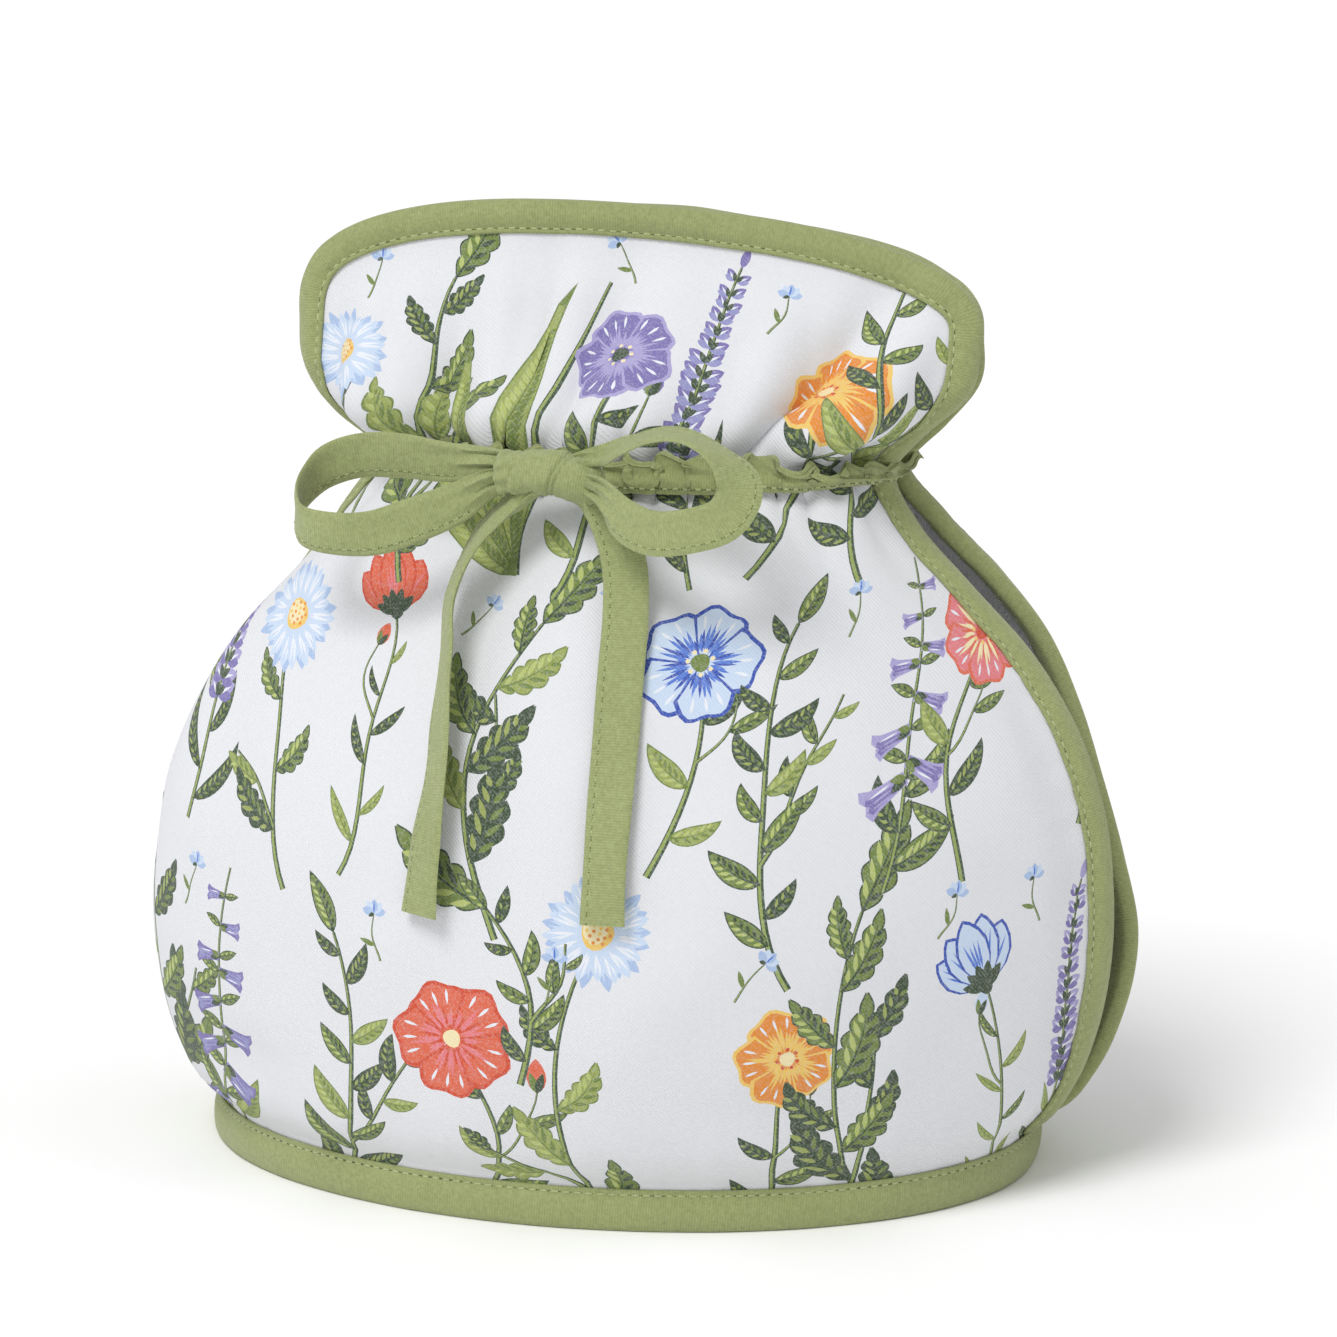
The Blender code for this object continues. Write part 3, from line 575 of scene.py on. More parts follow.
class Drawing:
    """Closed shapes in painting order, each of one ink."""

    def __init__(self, seed):
        self.shapes = []
        self.chance = np.random.default_rng(seed).uniform

    def shape(self, points, ink):
        self.shapes.append((anticlockwise(points), INK_NAMES.index(ink)))

    def stroke(self, path, start, end, ink):
        """A line along a path, its width going from start to end."""
        side = left_of(directions_along(path))
        wide = np.linspace(start, end, len(path))[:, None] / 2
        self.shape(np.concatenate([path + side * wide, (path - side * wide)[::-1]]), ink)

    def streak(self, start, lean, length, wide, ink):
        """A short pointed touch of the brush from start; lean in radians."""
        self.shape(spun(STREAK * (length, wide), *start, lean), ink)

    def vein(self, x, y, turn, start, length, wide, ink):
        """A streak away from (x, y), beginning at a distance of start; turn in degrees."""
        lean = math.radians(turn)
        self.streak(off(x, y, lean, start), lean, length, wide, ink)

    def disc(self, x, y, radius, ink, corners=14):
        turn = turns(corners)
        self.shape(arc(x, y, turn, radius * (1 + 0.06 * np.sin(turn * 3 + x))), ink)

    def petal(self, x, y, turn, length, wide, ink, blunt=0.62):
        """A petal from (x, y) outwards; blunt moves its widest place towards the tip."""
        t = np.array([0.0, 0.18, 0.40, 0.62, 0.80, 0.93, 1.0])
        half = wide / 2 * np.sin(math.pi * t ** (1 / (2 * (1 - blunt) + 0.2))) ** 0.75
        half[0], half[-1] = wide * 0.06, 0
        side = np.stack([length * t, half], axis=1)
        self.shape(spun(np.concatenate([side, side[-2::-1] * FLIPPED]), x, y, math.radians(turn)), ink)

    def leaf(self, x, y, turn, length, wide, bend=20.0, lobes=0, ink="leaf"):
        """A pointed leaf with a dark rim, a paler inside and strokes along its veins; lobes tooth its edge."""
        count, turn = 8 * lobes + 1 if lobes else 13, math.radians(turn)
        t, index = np.linspace(0, 1, count), np.arange(count)
        angle = np.radians(-bend / 2 + bend * t)
        way = ways(angle)
        path = path_of(0, 0, way[:-1] * (length / (count - 1)))
        half, ahead = wide / 2 * np.sin(math.pi * t**0.80) ** 0.85, np.zeros(count)
        if lobes:
            tooth = (lobes * t) % 1.0
            half = half * (0.44 + 0.56 * np.sin(math.pi * np.clip(tooth * 0.72 + 0.14, 0, 1)) ** 1.5)
            ahead = 0.16 * wide * tooth * (half > 0)
        tips = path + way * ahead[:, None]
        rim, body, bright, shade = LEAF_INKS[ink]
        for inset, tint in ((0.0, rim), (0.16 + 0.030 * wide, body)):
            side = left_of(way) * np.maximum(half - inset, 0)[:, None]
            first = (tips + side)[1:-1] if inset else tips + side
            self.shape(spun(np.concatenate([first, (tips - side)[-2:0:-1]]), x, y, turn), tint)
        touches = lobes if lobes else max(3, int(length / 2.4))
        for k in range(touches):
            at = 0.08 + 0.76 * (k + 0.2) / touches
            i = at * (count - 1)
            centre = [np.interp(i, index, path[:, c]) for c in range(2)]
            heading = np.interp(i, index, angle)
            broad = wide / 2 * math.sin(math.pi * (at + 0.06) ** 0.80) ** 0.85
            for flip, tint in ((-1, shade), (1, bright)):
                reach = broad * self.chance(0.85, 1.25)
                foot = np.array([off(*centre, heading + flip * 1.2, 0.05 * wide)])
                lean = heading + flip * 0.60 + turn
                self.streak(spun(foot, x, y, turn)[0], lean, reach, 0.125 * wide + 0.20, tint)
        last = int(len(path) * 0.88)
        self.stroke(spun(path[:last:2], x, y, turn), 0.06 * wide + 0.18, 0.12, rim)

    def daisy(self, x, y, radius):
        start = self.chance(0, 20)
        for layer, tint, reach in (("pale_blue", "sky", 1.0), ("sky", "white", 0.93)):
            for k in range(17):
                turn = start + 360 * (k + 0.5 * (layer == "sky")) / 17 + self.chance(-4, 4)
                long = radius * reach * self.chance(0.86, 1.05)
                self.petal(x, y, turn, long, radius * 0.30, layer, 0.62)
                for aside in (-3.2, 3.2):
                    far = long * self.chance(0.42, 0.58)
                    self.vein(x, y, turn + aside, radius * 0.34, far, radius * 0.060, tint)
        self.disc(x, y, radius * 0.28, "yellow")
        self.disc(x - radius * 0.04, y + radius * 0.03, radius * 0.21, "cream")
        for k in range(17):
            seed = off(x, y, math.radians(k * 137.5 + start), radius * 0.25 * math.sqrt((k + 0.5) / 17))
            self.disc(*seed, radius * 0.036, "orange" if k % 3 else "yellow", 5)

    def blossom(self, x, y, radius, inks):
        """An open flower seen face on, with five petals."""
        edge, petals, veins, heart, dots = inks
        start = self.chance(0, 72)
        t, spread = np.linspace(-1, 1, 13), 180 / 5 * 1.20
        for k in range(5):
            turn = start + 360 * k / 5 + self.chance(-3, 3)
            long = radius * self.chance(0.90, 1.08)
            lift = long * (1 - 0.20 * np.abs(t) ** 2.6) * (1 + 0.05 * np.sin(t * 7 + k * 1.7))
            low = np.radians(turn + np.array([0.5, -0.5]) * spread)
            for scale, share, foot, ink in ((1.0, 1, 0.06, edge), (0.935, 0.91, 0.10, petals)):
                high = arc(x, y, np.radians(turn + t * spread * share), lift * scale)
                self.shape(np.concatenate([high, arc(x, y, low, radius * foot)]), ink)
            for j in range(9):
                lean = (j - 4) / 4 * spread * 0.74 + self.chance(-2, 2)
                reach = radius * self.chance(0.30, 0.66) * (1 - 0.3 * abs(j - 4) / 4)
                near, tint = radius * (0.16 + 0.03 * (j % 2)), veins if j % 3 else edge
                self.vein(x, y, turn + lean, near, reach, radius * 0.062, tint)
            for j in (-1, 0, 1):
                a = math.radians(turn + j * spread * 0.42)
                self.streak(off(x, y, a, long * 0.86), a + math.pi, radius * 0.26, radius * 0.055, "white")
        self.disc(x, y, radius * 0.15, heart)
        for k in range(7):
            self.disc(*off(x, y, math.radians(k * 51.4 + start), radius * 0.20), radius * 0.040, dots, 6)

    def cup(self, x, y, turn, length, inks):
        """A flower seen from the side, opening outwards from (x, y)."""
        for lean, size in ((-38, 0.88), (38, 0.86), (-17, 0.98), (18, 0.95), (0, 1.0)):
            self.petal(x, y, turn + lean, length * size, length * 0.50, inks[0], 0.68)
            self.petal(x, y, turn + lean, length * size * 0.95, length * 0.43, inks[1], 0.68)
            for aside in (-9, -3, 3, 9):
                reach = length * self.chance(0.35, 0.55)
                self.vein(x, y, turn + lean + aside, length * 0.26, reach, length * 0.040, inks[2])
        for lean in (-58, -24, 6, 34, 62):
            self.petal(x, y, turn + lean, length * 0.36, length * 0.16, "leaf", 0.5)
        self.disc(x, y, length * 0.10, "leaf", 8)

    def bud(self, x, y, turn, length, ink):
        self.petal(x, y, turn, length, length * 0.55, ink, 0.52)
        self.petal(x, y, turn + 17, length * 0.62, length * 0.24, "leaf_mid", 0.45)
        self.petal(x, y, turn - 17, length * 0.62, length * 0.24, "leaf", 0.45)

    def bell(self, x, y, turn, length, inks):
        """A small hanging flower."""
        lean, t = math.radians(turn), np.linspace(0, 1, 6)
        side = np.stack([length * t, length * (0.15 + 0.15 * t**1.5 + 0.07 * (t > 0.9))], axis=1)
        tip = (length * 1.08, side[-1, 1] * 0.45)
        outline = np.concatenate([side, [tip, (length * 0.99, 0), (tip[0], -tip[1])], side[::-1] * FLIPPED])
        self.shape(spun(outline, x, y, lean), inks[0])
        self.shape(spun(outline * (0.9, 0.50) + (0.03 * length, 0.05 * length), x, y, lean), inks[1])
        for aside in (-0.10, 0.02, 0.13):
            foot = spun(np.array([(length * 0.35, length * aside)]), x, y, lean)[0]
            self.streak(foot, lean, length * 0.55, length * 0.055, "white" if aside < 0 else inks[0])
        self.petal(x, y, turn + 12, length * 0.42, length * 0.22, "leaf", 0.45)
        self.petal(x, y, turn - 24, length * 0.36, length * 0.20, "leaf_mid", 0.45)

    def stem(self, x, y, heading, length, bend, wide=1.7):
        """A stem that bends and sways a little; its path and its headings in degrees."""
        count = max(10, int(length / 3.4))
        angle = np.radians(heading + bend * np.linspace(0, 1, count))
        angle = angle + math.radians(self.chance(-15, 15)) * np.sin(np.linspace(0, 2 * math.pi, count))
        path = path_of(x, y, ways(angle)[:-1] * length / (count - 1))
        self.stroke(path, wide, wide * 0.5, "stem_deep")
        self.stroke(path + left_of(ways(angle)) * wide * 0.10, wide * 0.46, wide * 0.14, "stem")
        return path, np.degrees(angle)

    def leaves(self, path, angle, first, last, step, length, wide, lobes=0, spread=44.0):
        """Leaves on both sides of a stem, from its first to its last share, about a step apart."""
        way, index = 1 if self.chance() < 0.5 else -1, np.arange(len(path))
        total = np.linalg.norm(np.diff(path, axis=0), axis=1).sum()
        count = max(1, int((last - first) * total / step))
        for k in range(count):
            at = first + (last - first) * (k + self.chance(0.3, 0.7)) / count
            i = at * (len(path) - 1)
            x, y = (np.interp(i, index, path[:, c]) for c in range(2))
            lean = np.interp(i, index, angle) + way * (spread + self.chance(-14, 14))
            size = self.chance(0.72, 1.12) * (1.1 - 0.45 * at)
            ink = ("leaf", "leaf_dark", "leaf", "leaf_mid", "leaf_dark")[int(self.chance(0, 5))]
            self.leaf(x, y, lean, length * size, wide * size, -way * self.chance(14, 60), lobes, ink)
            way = -way

    def sprig(self, path, angle, size):
        for k in range(5):
            tint = "sky" if k % 2 else "pale_blue"
            self.petal(*path[-1], angle[-1] - 76 + 38 * k, size, size * 0.62, tint, 0.6)
        self.streak(path[-1], math.radians(angle[-1]), size * 0.9, size * 0.16, "blue")
        self.petal(*path[-1], angle[-1] + 120, size * 0.5, size * 0.3, "leaf", 0.5)
        self.petal(*path[3], angle[3] + 50, size * 1.3, size * 0.4, "leaf_mid", 0.5)

    def plant(self, kind, x, y, heading, length, bend, size, ink):
        """One plant rooted at (x, y)."""
        if kind == "blades":
            self.stem(x, y, heading, length, bend, 1.8)
            for lean, long in ((-12, 1.0), (10, 0.84), (30, 0.62)):
                self.leaf(x, y, heading + lean, length * long, size, bend * 1.6, 0, "leaf_mid")
            return
        wide = {"sprig": 0.6, "cup": 1.3, "spike": 1.3, "bells": 1.3}.get(kind, 1.8)
        path, angle = self.stem(x, y, heading, length, bend, wide)
        end, facing, hues = path[-1], angle[-1], FLOWER_INKS[ink]

        def branch_off(share, lean, long, turn, wide):
            i = int(len(path) * share)
            return self.stem(*path[i], angle[i] + lean, length * long, turn, wide)

        if kind == "sprig":
            self.sprig(path, angle, size)
        elif kind == "daisy":
            side, turn = branch_off(1 / 4, 30, 0.34, 26, 1.4)
            self.leaves(side, turn, 0.25, 1.0, 9, 15, 6.4, lobes=4, spread=30)
            self.leaves(path, angle, 0.08, 0.78, 13, 19, 8.0, lobes=5, spread=36)
            self.daisy(*end, size)
        elif kind == "blossom":
            self.leaves(path, angle, 0.10, 0.84, 9.5, 15, 5.2)
            side, turn = branch_off(1 / 2, -46, 0.34, 50, 0.9)
            self.bud(*side[-1], turn[-1], size * 0.6, hues[1])
            middle = len(side) // 2
            self.leaf(*side[middle], turn[middle] - 40, size * 0.8, size * 0.26, 20)
            self.blossom(*end, size, hues)
        elif kind == "cup":
            self.leaves(path, angle, 0.06, 0.86, 7.5, 13, 2.9, spread=34)
            side, turn = branch_off(3 / 5, 40, 0.30, -54, 0.8)
            self.bud(*side[-1], turn[-1], size * 0.55, hues[1])
            self.cup(*end, facing, size * 1.5, hues)
        elif kind == "spike":
            self.leaves(path, angle, 0.02, 0.40, 7, 21, 4.2, spread=24.0)
            count = int(length * 0.60 / 3.4)
            for k in range(count):
                i = int((0.40 + 0.60 * k / count) * (len(path) - 1))
                small = size * (1.2 - 0.6 * k / count)
                for way in (-1, 1):
                    turn = angle[i] + way * (62 - 20 * k / count) + self.chance(-12, 12)
                    at = path[i] + self.chance(-0.5, 0.5, 2)
                    self.petal(*at, turn, small, small * 0.55, hues[0], 0.6)
                    self.petal(*at, turn + 26 * way, small * 0.8, small * 0.42, hues[1], 0.6)
                    self.streak(at, math.radians(turn), small * 0.8, small * 0.13, "white")
                    self.petal(*at, turn - 26 * way, small * 0.6, small * 0.30, "leaf", 0.45)
            self.petal(*end, facing, size * 0.9, size * 0.4, hues[0], 0.55)
        elif kind == "bells":
            self.leaves(path, angle, 0.02, 0.34, 7, 20, 7.0, spread=36.0)
            count = int(length * 0.66 / 5.6)
            for k in range(count):
                i = int((0.34 + 0.66 * k / count) * (len(path) - 1))
                small = size * (1.2 - 0.75 * k / count)
                way = -1 if k % 2 else 1
                turn = angle[i] + way * (122 - 34 * k / count) + self.chance(-10, 10)
                self.bell(*path[i], turn, small, hues)
                self.leaf(*path[i], angle[i] - way * 70, small * 0.9, small * 0.34, 10)
        elif kind == "branch":
            side, turn = branch_off(1 / 3, -34, 0.48, 22, 1.3)
            self.leaves(side, turn, 0.20, 0.95, 6.0, size * 0.95, size * 0.34, spread=38)
            self.leaves(path, angle, 0.10, 0.97, 6.2, size * 1.15, size * 0.42, spread=42)
            self.leaf(*end, facing, size, size * 0.36, 8)
        elif kind == "fern":
            side, turn = branch_off(1 / 4, -32, 0.50, 30, 1.5)
            self.leaves(side, turn, 0.25, 0.98, 10, size * 1.25, size * 0.56, lobes=4, spread=30)
            self.leaves(path, angle, 0.05, 0.95, 9.5, size * 1.55, size * 0.66, lobes=5, spread=32)
            self.leaf(*end, facing, size * 1.5, size * 0.6, 12, 5)


def draw_print():
    drawing = Drawing(7)
    for kind, *numbers, ink in rows_of(PLANTS):
        drawing.plant(kind, *map(float, numbers), ink)
    return drawing.shapes


TILE = 40.0
TILE_STEP = 1.25  # mm between the points along a tile's sides
TILE_COLUMNS, NECK_COLUMNS = 14, 26  # of the points spread over a tile, outside and inside NECK_FLAT
NECK_FLAT = (160.0, 236.0)  # mm up the flat cloth, where the folds are
EDGE_MARGIN = 3  # mm within which a tile counts as cut by the cloth's outline


def inside(outline, points):
    """Which points lie within a closed outline."""
    ends = np.roll(outline, -1, axis=0)
    rising = (outline[:, 1] > points[:, None, 1]) != (ends[:, 1] > points[:, None, 1])
    drop = ends[:, 1] - outline[:, 1]
    slope = (ends[:, 0] - outline[:, 0]) / np.where(drop == 0, 1e-12, drop)
    across = outline[:, 0] + (points[:, None, 1] - outline[:, 1]) * slope
    return ((rising & (points[:, None, 0] < across)).sum(axis=1) % 2) == 1


def tile_ring(corner):
    """A square tile's outline, anticlockwise; neighbours share their points."""
    go = np.arange(0, TILE, TILE_STEP)
    zero, full = np.zeros(len(go)), np.full(len(go), TILE)
    sides = ((go, zero), (full, go), (TILE - go, full), (zero, TILE - go))
    return np.concatenate([np.stack(side, axis=1) for side in sides]) + corner


def lattice(corner):
    """Points spread over a tile, clear of its sides, and closer together about the gathered neck."""
    spreads = []
    for count, close in ((TILE_COLUMNS, False), (NECK_COLUMNS, True)):
        i, j = pairs(np.arange(count), np.arange(count))
        points = np.stack([(i + 0.25 + 0.5 * (j % 2)) * TILE / count, (j + 0.5) * TILE / count], axis=1)
        points = points + corner
        gathered = (points[:, 1] > NECK_FLAT[0]) & (points[:, 1] < NECK_FLAT[1])
        spreads.append(points[gathered == close])
    return np.concatenate(spreads)


def repeated(shapes):
    """The print's shapes over its neighbouring repeats, with their bounds."""
    every = [
        (points + (right, up), ink)
        for up in (0, REPEAT_Y, -REPEAT_Y)
        for right in (0, REPEAT_X, -REPEAT_X)
        for points, ink in shapes
    ]
    return every, *(np.array([bound(points, axis=0) for points, _ in every]) for bound in (np.min, np.max))


def tile_faces(rings, spread, repeats):
    """One tile's triangles with the shapes' edges among them: points in mm, triangles and inks."""
    every, lows, highs = repeats
    low, high = rings[0].min(axis=0), rings[0].max(axis=0)
    chosen = np.nonzero(((highs > low) & (lows < high)).all(axis=1))[0]
    points, faces, inks = [], [], []
    for outline, ink in [(ring, 0) for ring in rings] + [every[k] for k in chosen]:
        faces.append(list(range(len(points), len(points) + len(outline))))
        points.extend(map(tuple, outline))
        inks.append(ink)
    points.extend(map(tuple, spread))
    found = delaunay_2d_cdt([Vector(p) for p in points], [], faces, 0, 1e-4)
    needed = set(range(len(rings)))
    kept = [k for k, owners in enumerate(found[5]) if needed <= set(owners)]
    triangles = np.array([found[2][k] for k in kept]).reshape(-1, 3)
    tints = np.array([inks[max(found[5][k])] for k in kept], dtype=int)
    return np.array([tuple(p) for p in found[0]]), triangles, tints


TILES_DONE = {}


def print_faces(outline, repeats):
    """Meshes a cloth's flat outline with the print's edges in it; plain tiles serve both panels."""
    low, high = np.floor(outline.min(axis=0) / TILE) * TILE, outline.max(axis=0)
    parts, count = [], 0
    for corner in ((x, y) for x in np.arange(low[0], high[0], TILE) for y in np.arange(low[1], high[1], TILE)):
        away = outline - corner
        near = ((away > -EDGE_MARGIN) & (away < TILE + EDGE_MARGIN)).all(axis=1).any()
        if near:
            spread = lattice(corner)
            found = tile_faces([tile_ring(corner), outline], spread[inside(outline, spread)], repeats)
        elif not inside(outline, np.array([corner]) + TILE / 2)[0]:
            continue
        else:
            if corner not in TILES_DONE:
                TILES_DONE[corner] = tile_faces([tile_ring(corner)], lattice(corner), repeats)
            found = TILES_DONE[corner]
        parts.append((found[0], found[1] + count, found[2]))
        count += len(found[0])
    flat, triangles, tints = (np.concatenate([part[k] for part in parts]) for k in range(3))
    keys, index = np.unique(np.round(flat / 2e-4).astype(np.int64), axis=0, return_inverse=True)
    first = np.zeros(len(keys), dtype=int)
    first[index.reshape(-1)] = np.arange(len(flat))
    used, compact = np.unique(index.reshape(-1)[triangles], return_inverse=True)
    flat, triangles = flat[first][used], compact.reshape(-1, 3)
    whole = (triangles != np.roll(triangles, 1, axis=1)).all(axis=1)
    return flat, triangles[whole], tints[whole]

# ---- Meshes -----------------------------------------------------------------------------------------


def linear(inks):
    """Colours of 0 to 255 as linear light."""
    c = np.array(inks, float) / 255
    return np.where(c <= 0.04045, c / 12.92, ((c + 0.055) / 1.055) ** 2.4)


def link(name, data):
    """A new object in the scene."""
    made = bpy.data.objects.new(name, data)
    bpy.context.scene.collection.objects.link(made)
    return made


def make_mesh(name, points, faces, finish, uv, face_inks, normals=None):
    """A smooth mesh; uv is cloth metres for each point and face_inks a linear colour for each face."""
    mesh = bpy.data.meshes.new(name)
    mesh.from_pydata(points.tolist(), [], faces)
    mesh.update()
    mesh.materials.append(finish)
    mesh.shade_smooth()
    corners = np.zeros(len(mesh.loops), dtype=np.int32)
    mesh.loops.foreach_get("vertex_index", corners)
    layer = mesh.uv_layers.new(name="Cloth")
    layer.uv.foreach_set("vector", uv.astype(np.float32)[corners].ravel())
    ink = np.ones((len(corners), 4), np.float32)
    ink[:, :3] = np.repeat(face_inks, [len(face) for face in faces], axis=0)
    attribute = mesh.color_attributes.new(name="Ink", type="FLOAT_COLOR", domain="CORNER")
    attribute.data.foreach_set("color", ink.ravel())
    if normals is not None:
        mesh.normals_split_custom_set_from_vertices(normals.tolist())
    return link(name, mesh)


def border(triangles):
    """The points round the edge of a mesh with one edge loop, in the triangles' direction."""
    edges = np.concatenate([triangles[:, [0, 1]], triangles[:, [1, 2]], triangles[:, [2, 0]]])
    size = int(edges.max()) + 1
    there = np.sort(edges[:, 0] * size + edges[:, 1])
    back = edges[:, 1] * size + edges[:, 0]
    place = np.clip(np.searchsorted(there, back), 0, len(there) - 1)
    follow = {int(a): int(b) for a, b in edges[there[place] != back]}
    start = next(iter(follow))
    loop = [start]
    while follow[loop[-1]] != start:
        loop.append(follow[loop[-1]])
    return np.array(loop)


def plain_faces(loop, step):
    """Meshes the space inside a closed flat loop; its points come first, in their order."""
    low, high = loop.min(axis=0), loop.max(axis=0)
    columns, rows = int((high[0] - low[0]) / step), int((high[1] - low[1]) / (step * 0.87))
    i, j = pairs(np.arange(columns + 1), np.arange(rows + 1))
    spread = np.stack([low[0] + (i + 0.5 * (j % 2)) * step, low[1] + j * step * 0.87], axis=1)
    spread = spread[inside(loop, spread)]
    apart = ((spread[:, None] - loop[None]) ** 2).sum(axis=2).min(axis=1)
    points = np.concatenate([loop, spread[apart > (step * 0.5) ** 2]])
    found = delaunay_2d_cdt([Vector(p) for p in points], [], [list(range(len(loop)))], 1, 1e-5)
    origin = np.array([where[0] for where in found[3]])
    return points, origin[np.array(found[2])]


FOOT_SAMPLES = 96
LINING_STEP = 3.4  # mm between the lining's points


def make_panel(name, side, repeats, finish):
    """A padded panel: the printed outer skin, a plain inner one, and the cut edge that joins them."""
    surface = SURFACES[side]
    hand = -side
    s, z = surface.rim(PANEL_FOOT, 0.003)
    foot = np.linspace(1, -1, FOOT_SAMPLES)[1:-1]
    s, z = np.concatenate([s, foot]), np.concatenate([z, np.full(len(foot), PANEL_FOOT)])
    u, v = surface.flat(s, z)
    outline = anticlockwise(np.stack([u * hand, v], axis=1) * 1000)
    flat, triangles, tints = print_faces(outline, repeats)
    loop = border(triangles)
    lining, lining_faces = plain_faces(flat[loop], LINING_STEP)
    points, normals = [], []
    for places, skin, ways_out in (
        (flat, surface.outer, surface.outer_normals),
        (lining, surface.inner, surface.inner_normals),
    ):
        s, z = surface.unflat(places[:, 0] * hand / 1000, places[:, 1] / 1000)
        points.append(surface.look_up(skin, s, z))
        normals.append(unit(surface.look_up(ways_out, s, z)))
    a, b = loop, np.roll(loop, -1)
    i = np.arange(len(loop)) + len(flat)
    j = np.roll(i, -1)
    edge = np.concatenate([np.stack([b, a, i], axis=1), np.stack([b, i, j], axis=1)])
    faces = np.concatenate([triangles, lining_faces[:, ::-1] + len(flat), edge])
    # the lining ink is painted light: lighter than the cloth ink, for the shaded inside
    plain = np.full(len(lining_faces) + len(edge), INK_NAMES.index("lining"))
    inks = linear(list(INKS.values()))[np.concatenate([tints, plain])]
    uv = np.concatenate([flat, lining]) / 1000 + 0.2
    return make_mesh(name, np.concatenate(points), faces.tolist(), finish, uv, inks, np.concatenate(normals))


# ---- Bindings, hem and casing -----------------------------------------------------------------------
HOLD = EDGE_THICKNESS / 2 + 0.00012  # half of the space inside a binding
# Inks of a strip: cloth, thread, and painted shade for the dark discs at the needle holes
CLOTH_INK, THREAD_INK, HOLE_SHADE_INK = 0, 1, 2
BINDING_INKS = ((146, 154, 102), (170, 178, 130), (76, 86, 44))
TIE_INKS = ((149, 158, 106), (162, 171, 120), (94, 104, 58))
# Across half of a binding: distance in from the cloth's edge in thousandths of the width, and distance out
# from the space it holds in 0.01 mm.
HALF_BINDING = table_of(
    (1000, 100000),
    """
    985 0
    1000 22
    985 55
    940 78
    880 74
    820 62
    760 82
    660 122
    520 150
    360 158
    200 146
    70 118
    """,
)
# Up half of the hem strip: height in thousandths of its own, and distance out in 0.01 mm.
HALF_HEM = table_of(
    (1000, 100000),
    """
    985 0
    1000 22
    990 55
    960 78
    915 74
    870 62
    820 84
    720 126
    580 152
    430 156
    280 146
    150 122
    60 86
    15 40
    """,
)
STITCH_AT, HEM_STITCH_AT = 0.82, 0.87
STITCH_OUT = 0.00062
STITCH_PITCH = 0.00265
# Along a stitch, in hundredths: share of its length, share of its radius, and how far out, in radii.
STITCH_ROWS = table_of(
    100,
    """
    0 35 -160
    12 85 -40
    35 100 35
    65 100 35
    88 85 -40
    100 35 -160
    """,
)
STITCH_SIDES, HOLE_CORNERS = 6, 8
HOLE_AWAY = 0.00010  # m from a stitch's end to the middle of its hole's dark disc of painted shade
SPOT_STEP = 0.0004  # m to both sides of a place on the line, for the line's direction there


def make_strip(name, rings, finish, inks, closed=False, extras=()):
    """A solid through rings of points, with thread and dark discs of painted shade at the needle holes laid on it
    as extras.
    """
    steps, corners = rings.shape[:2]
    i, j = pairs(np.arange(steps if closed else steps - 1), np.arange(corners))
    k, after = (j + 1) % corners, (i + 1) % steps
    faces = np.stack([i * corners + j, i * corners + k, after * corners + k, after * corners + j], axis=1).tolist()
    if not closed:
        faces.append(list(range(corners))[::-1])
        faces.append([(steps - 1) * corners + j for j in range(corners)])
    kinds = [CLOTH_INK] * len(faces)
    points = [rings.reshape(-1, 3)]
    along = run_along(rings.mean(axis=1))
    around = np.linalg.norm(np.diff(rings, axis=1), axis=2).mean(axis=0)
    around = np.concatenate([[0], np.cumsum(around)])
    uv = [np.stack([np.repeat(along, corners), np.tile(around, steps)], axis=1)]
    count = steps * corners
    for extra_points, extra_faces, kind in extras:
        points.append(extra_points)
        faces.extend((extra_faces + count).tolist())
        kinds.extend([kind] * len(extra_faces))
        uv.append(np.zeros((len(extra_points), 2)))
        count += len(extra_points)
    made = make_mesh(name, np.concatenate(points), faces, finish, np.concatenate(uv), linear(inks)[kinds])
    made.data.set_sharp_from_angle(angle=math.radians(60))
    return made


def copies(faces, count, size):
    """The same faces for each of count blocks of size points."""
    faces = np.array(faces)
    return (faces[None] + (np.arange(count) * size)[:, None, None]).reshape(-1, faces.shape[1])


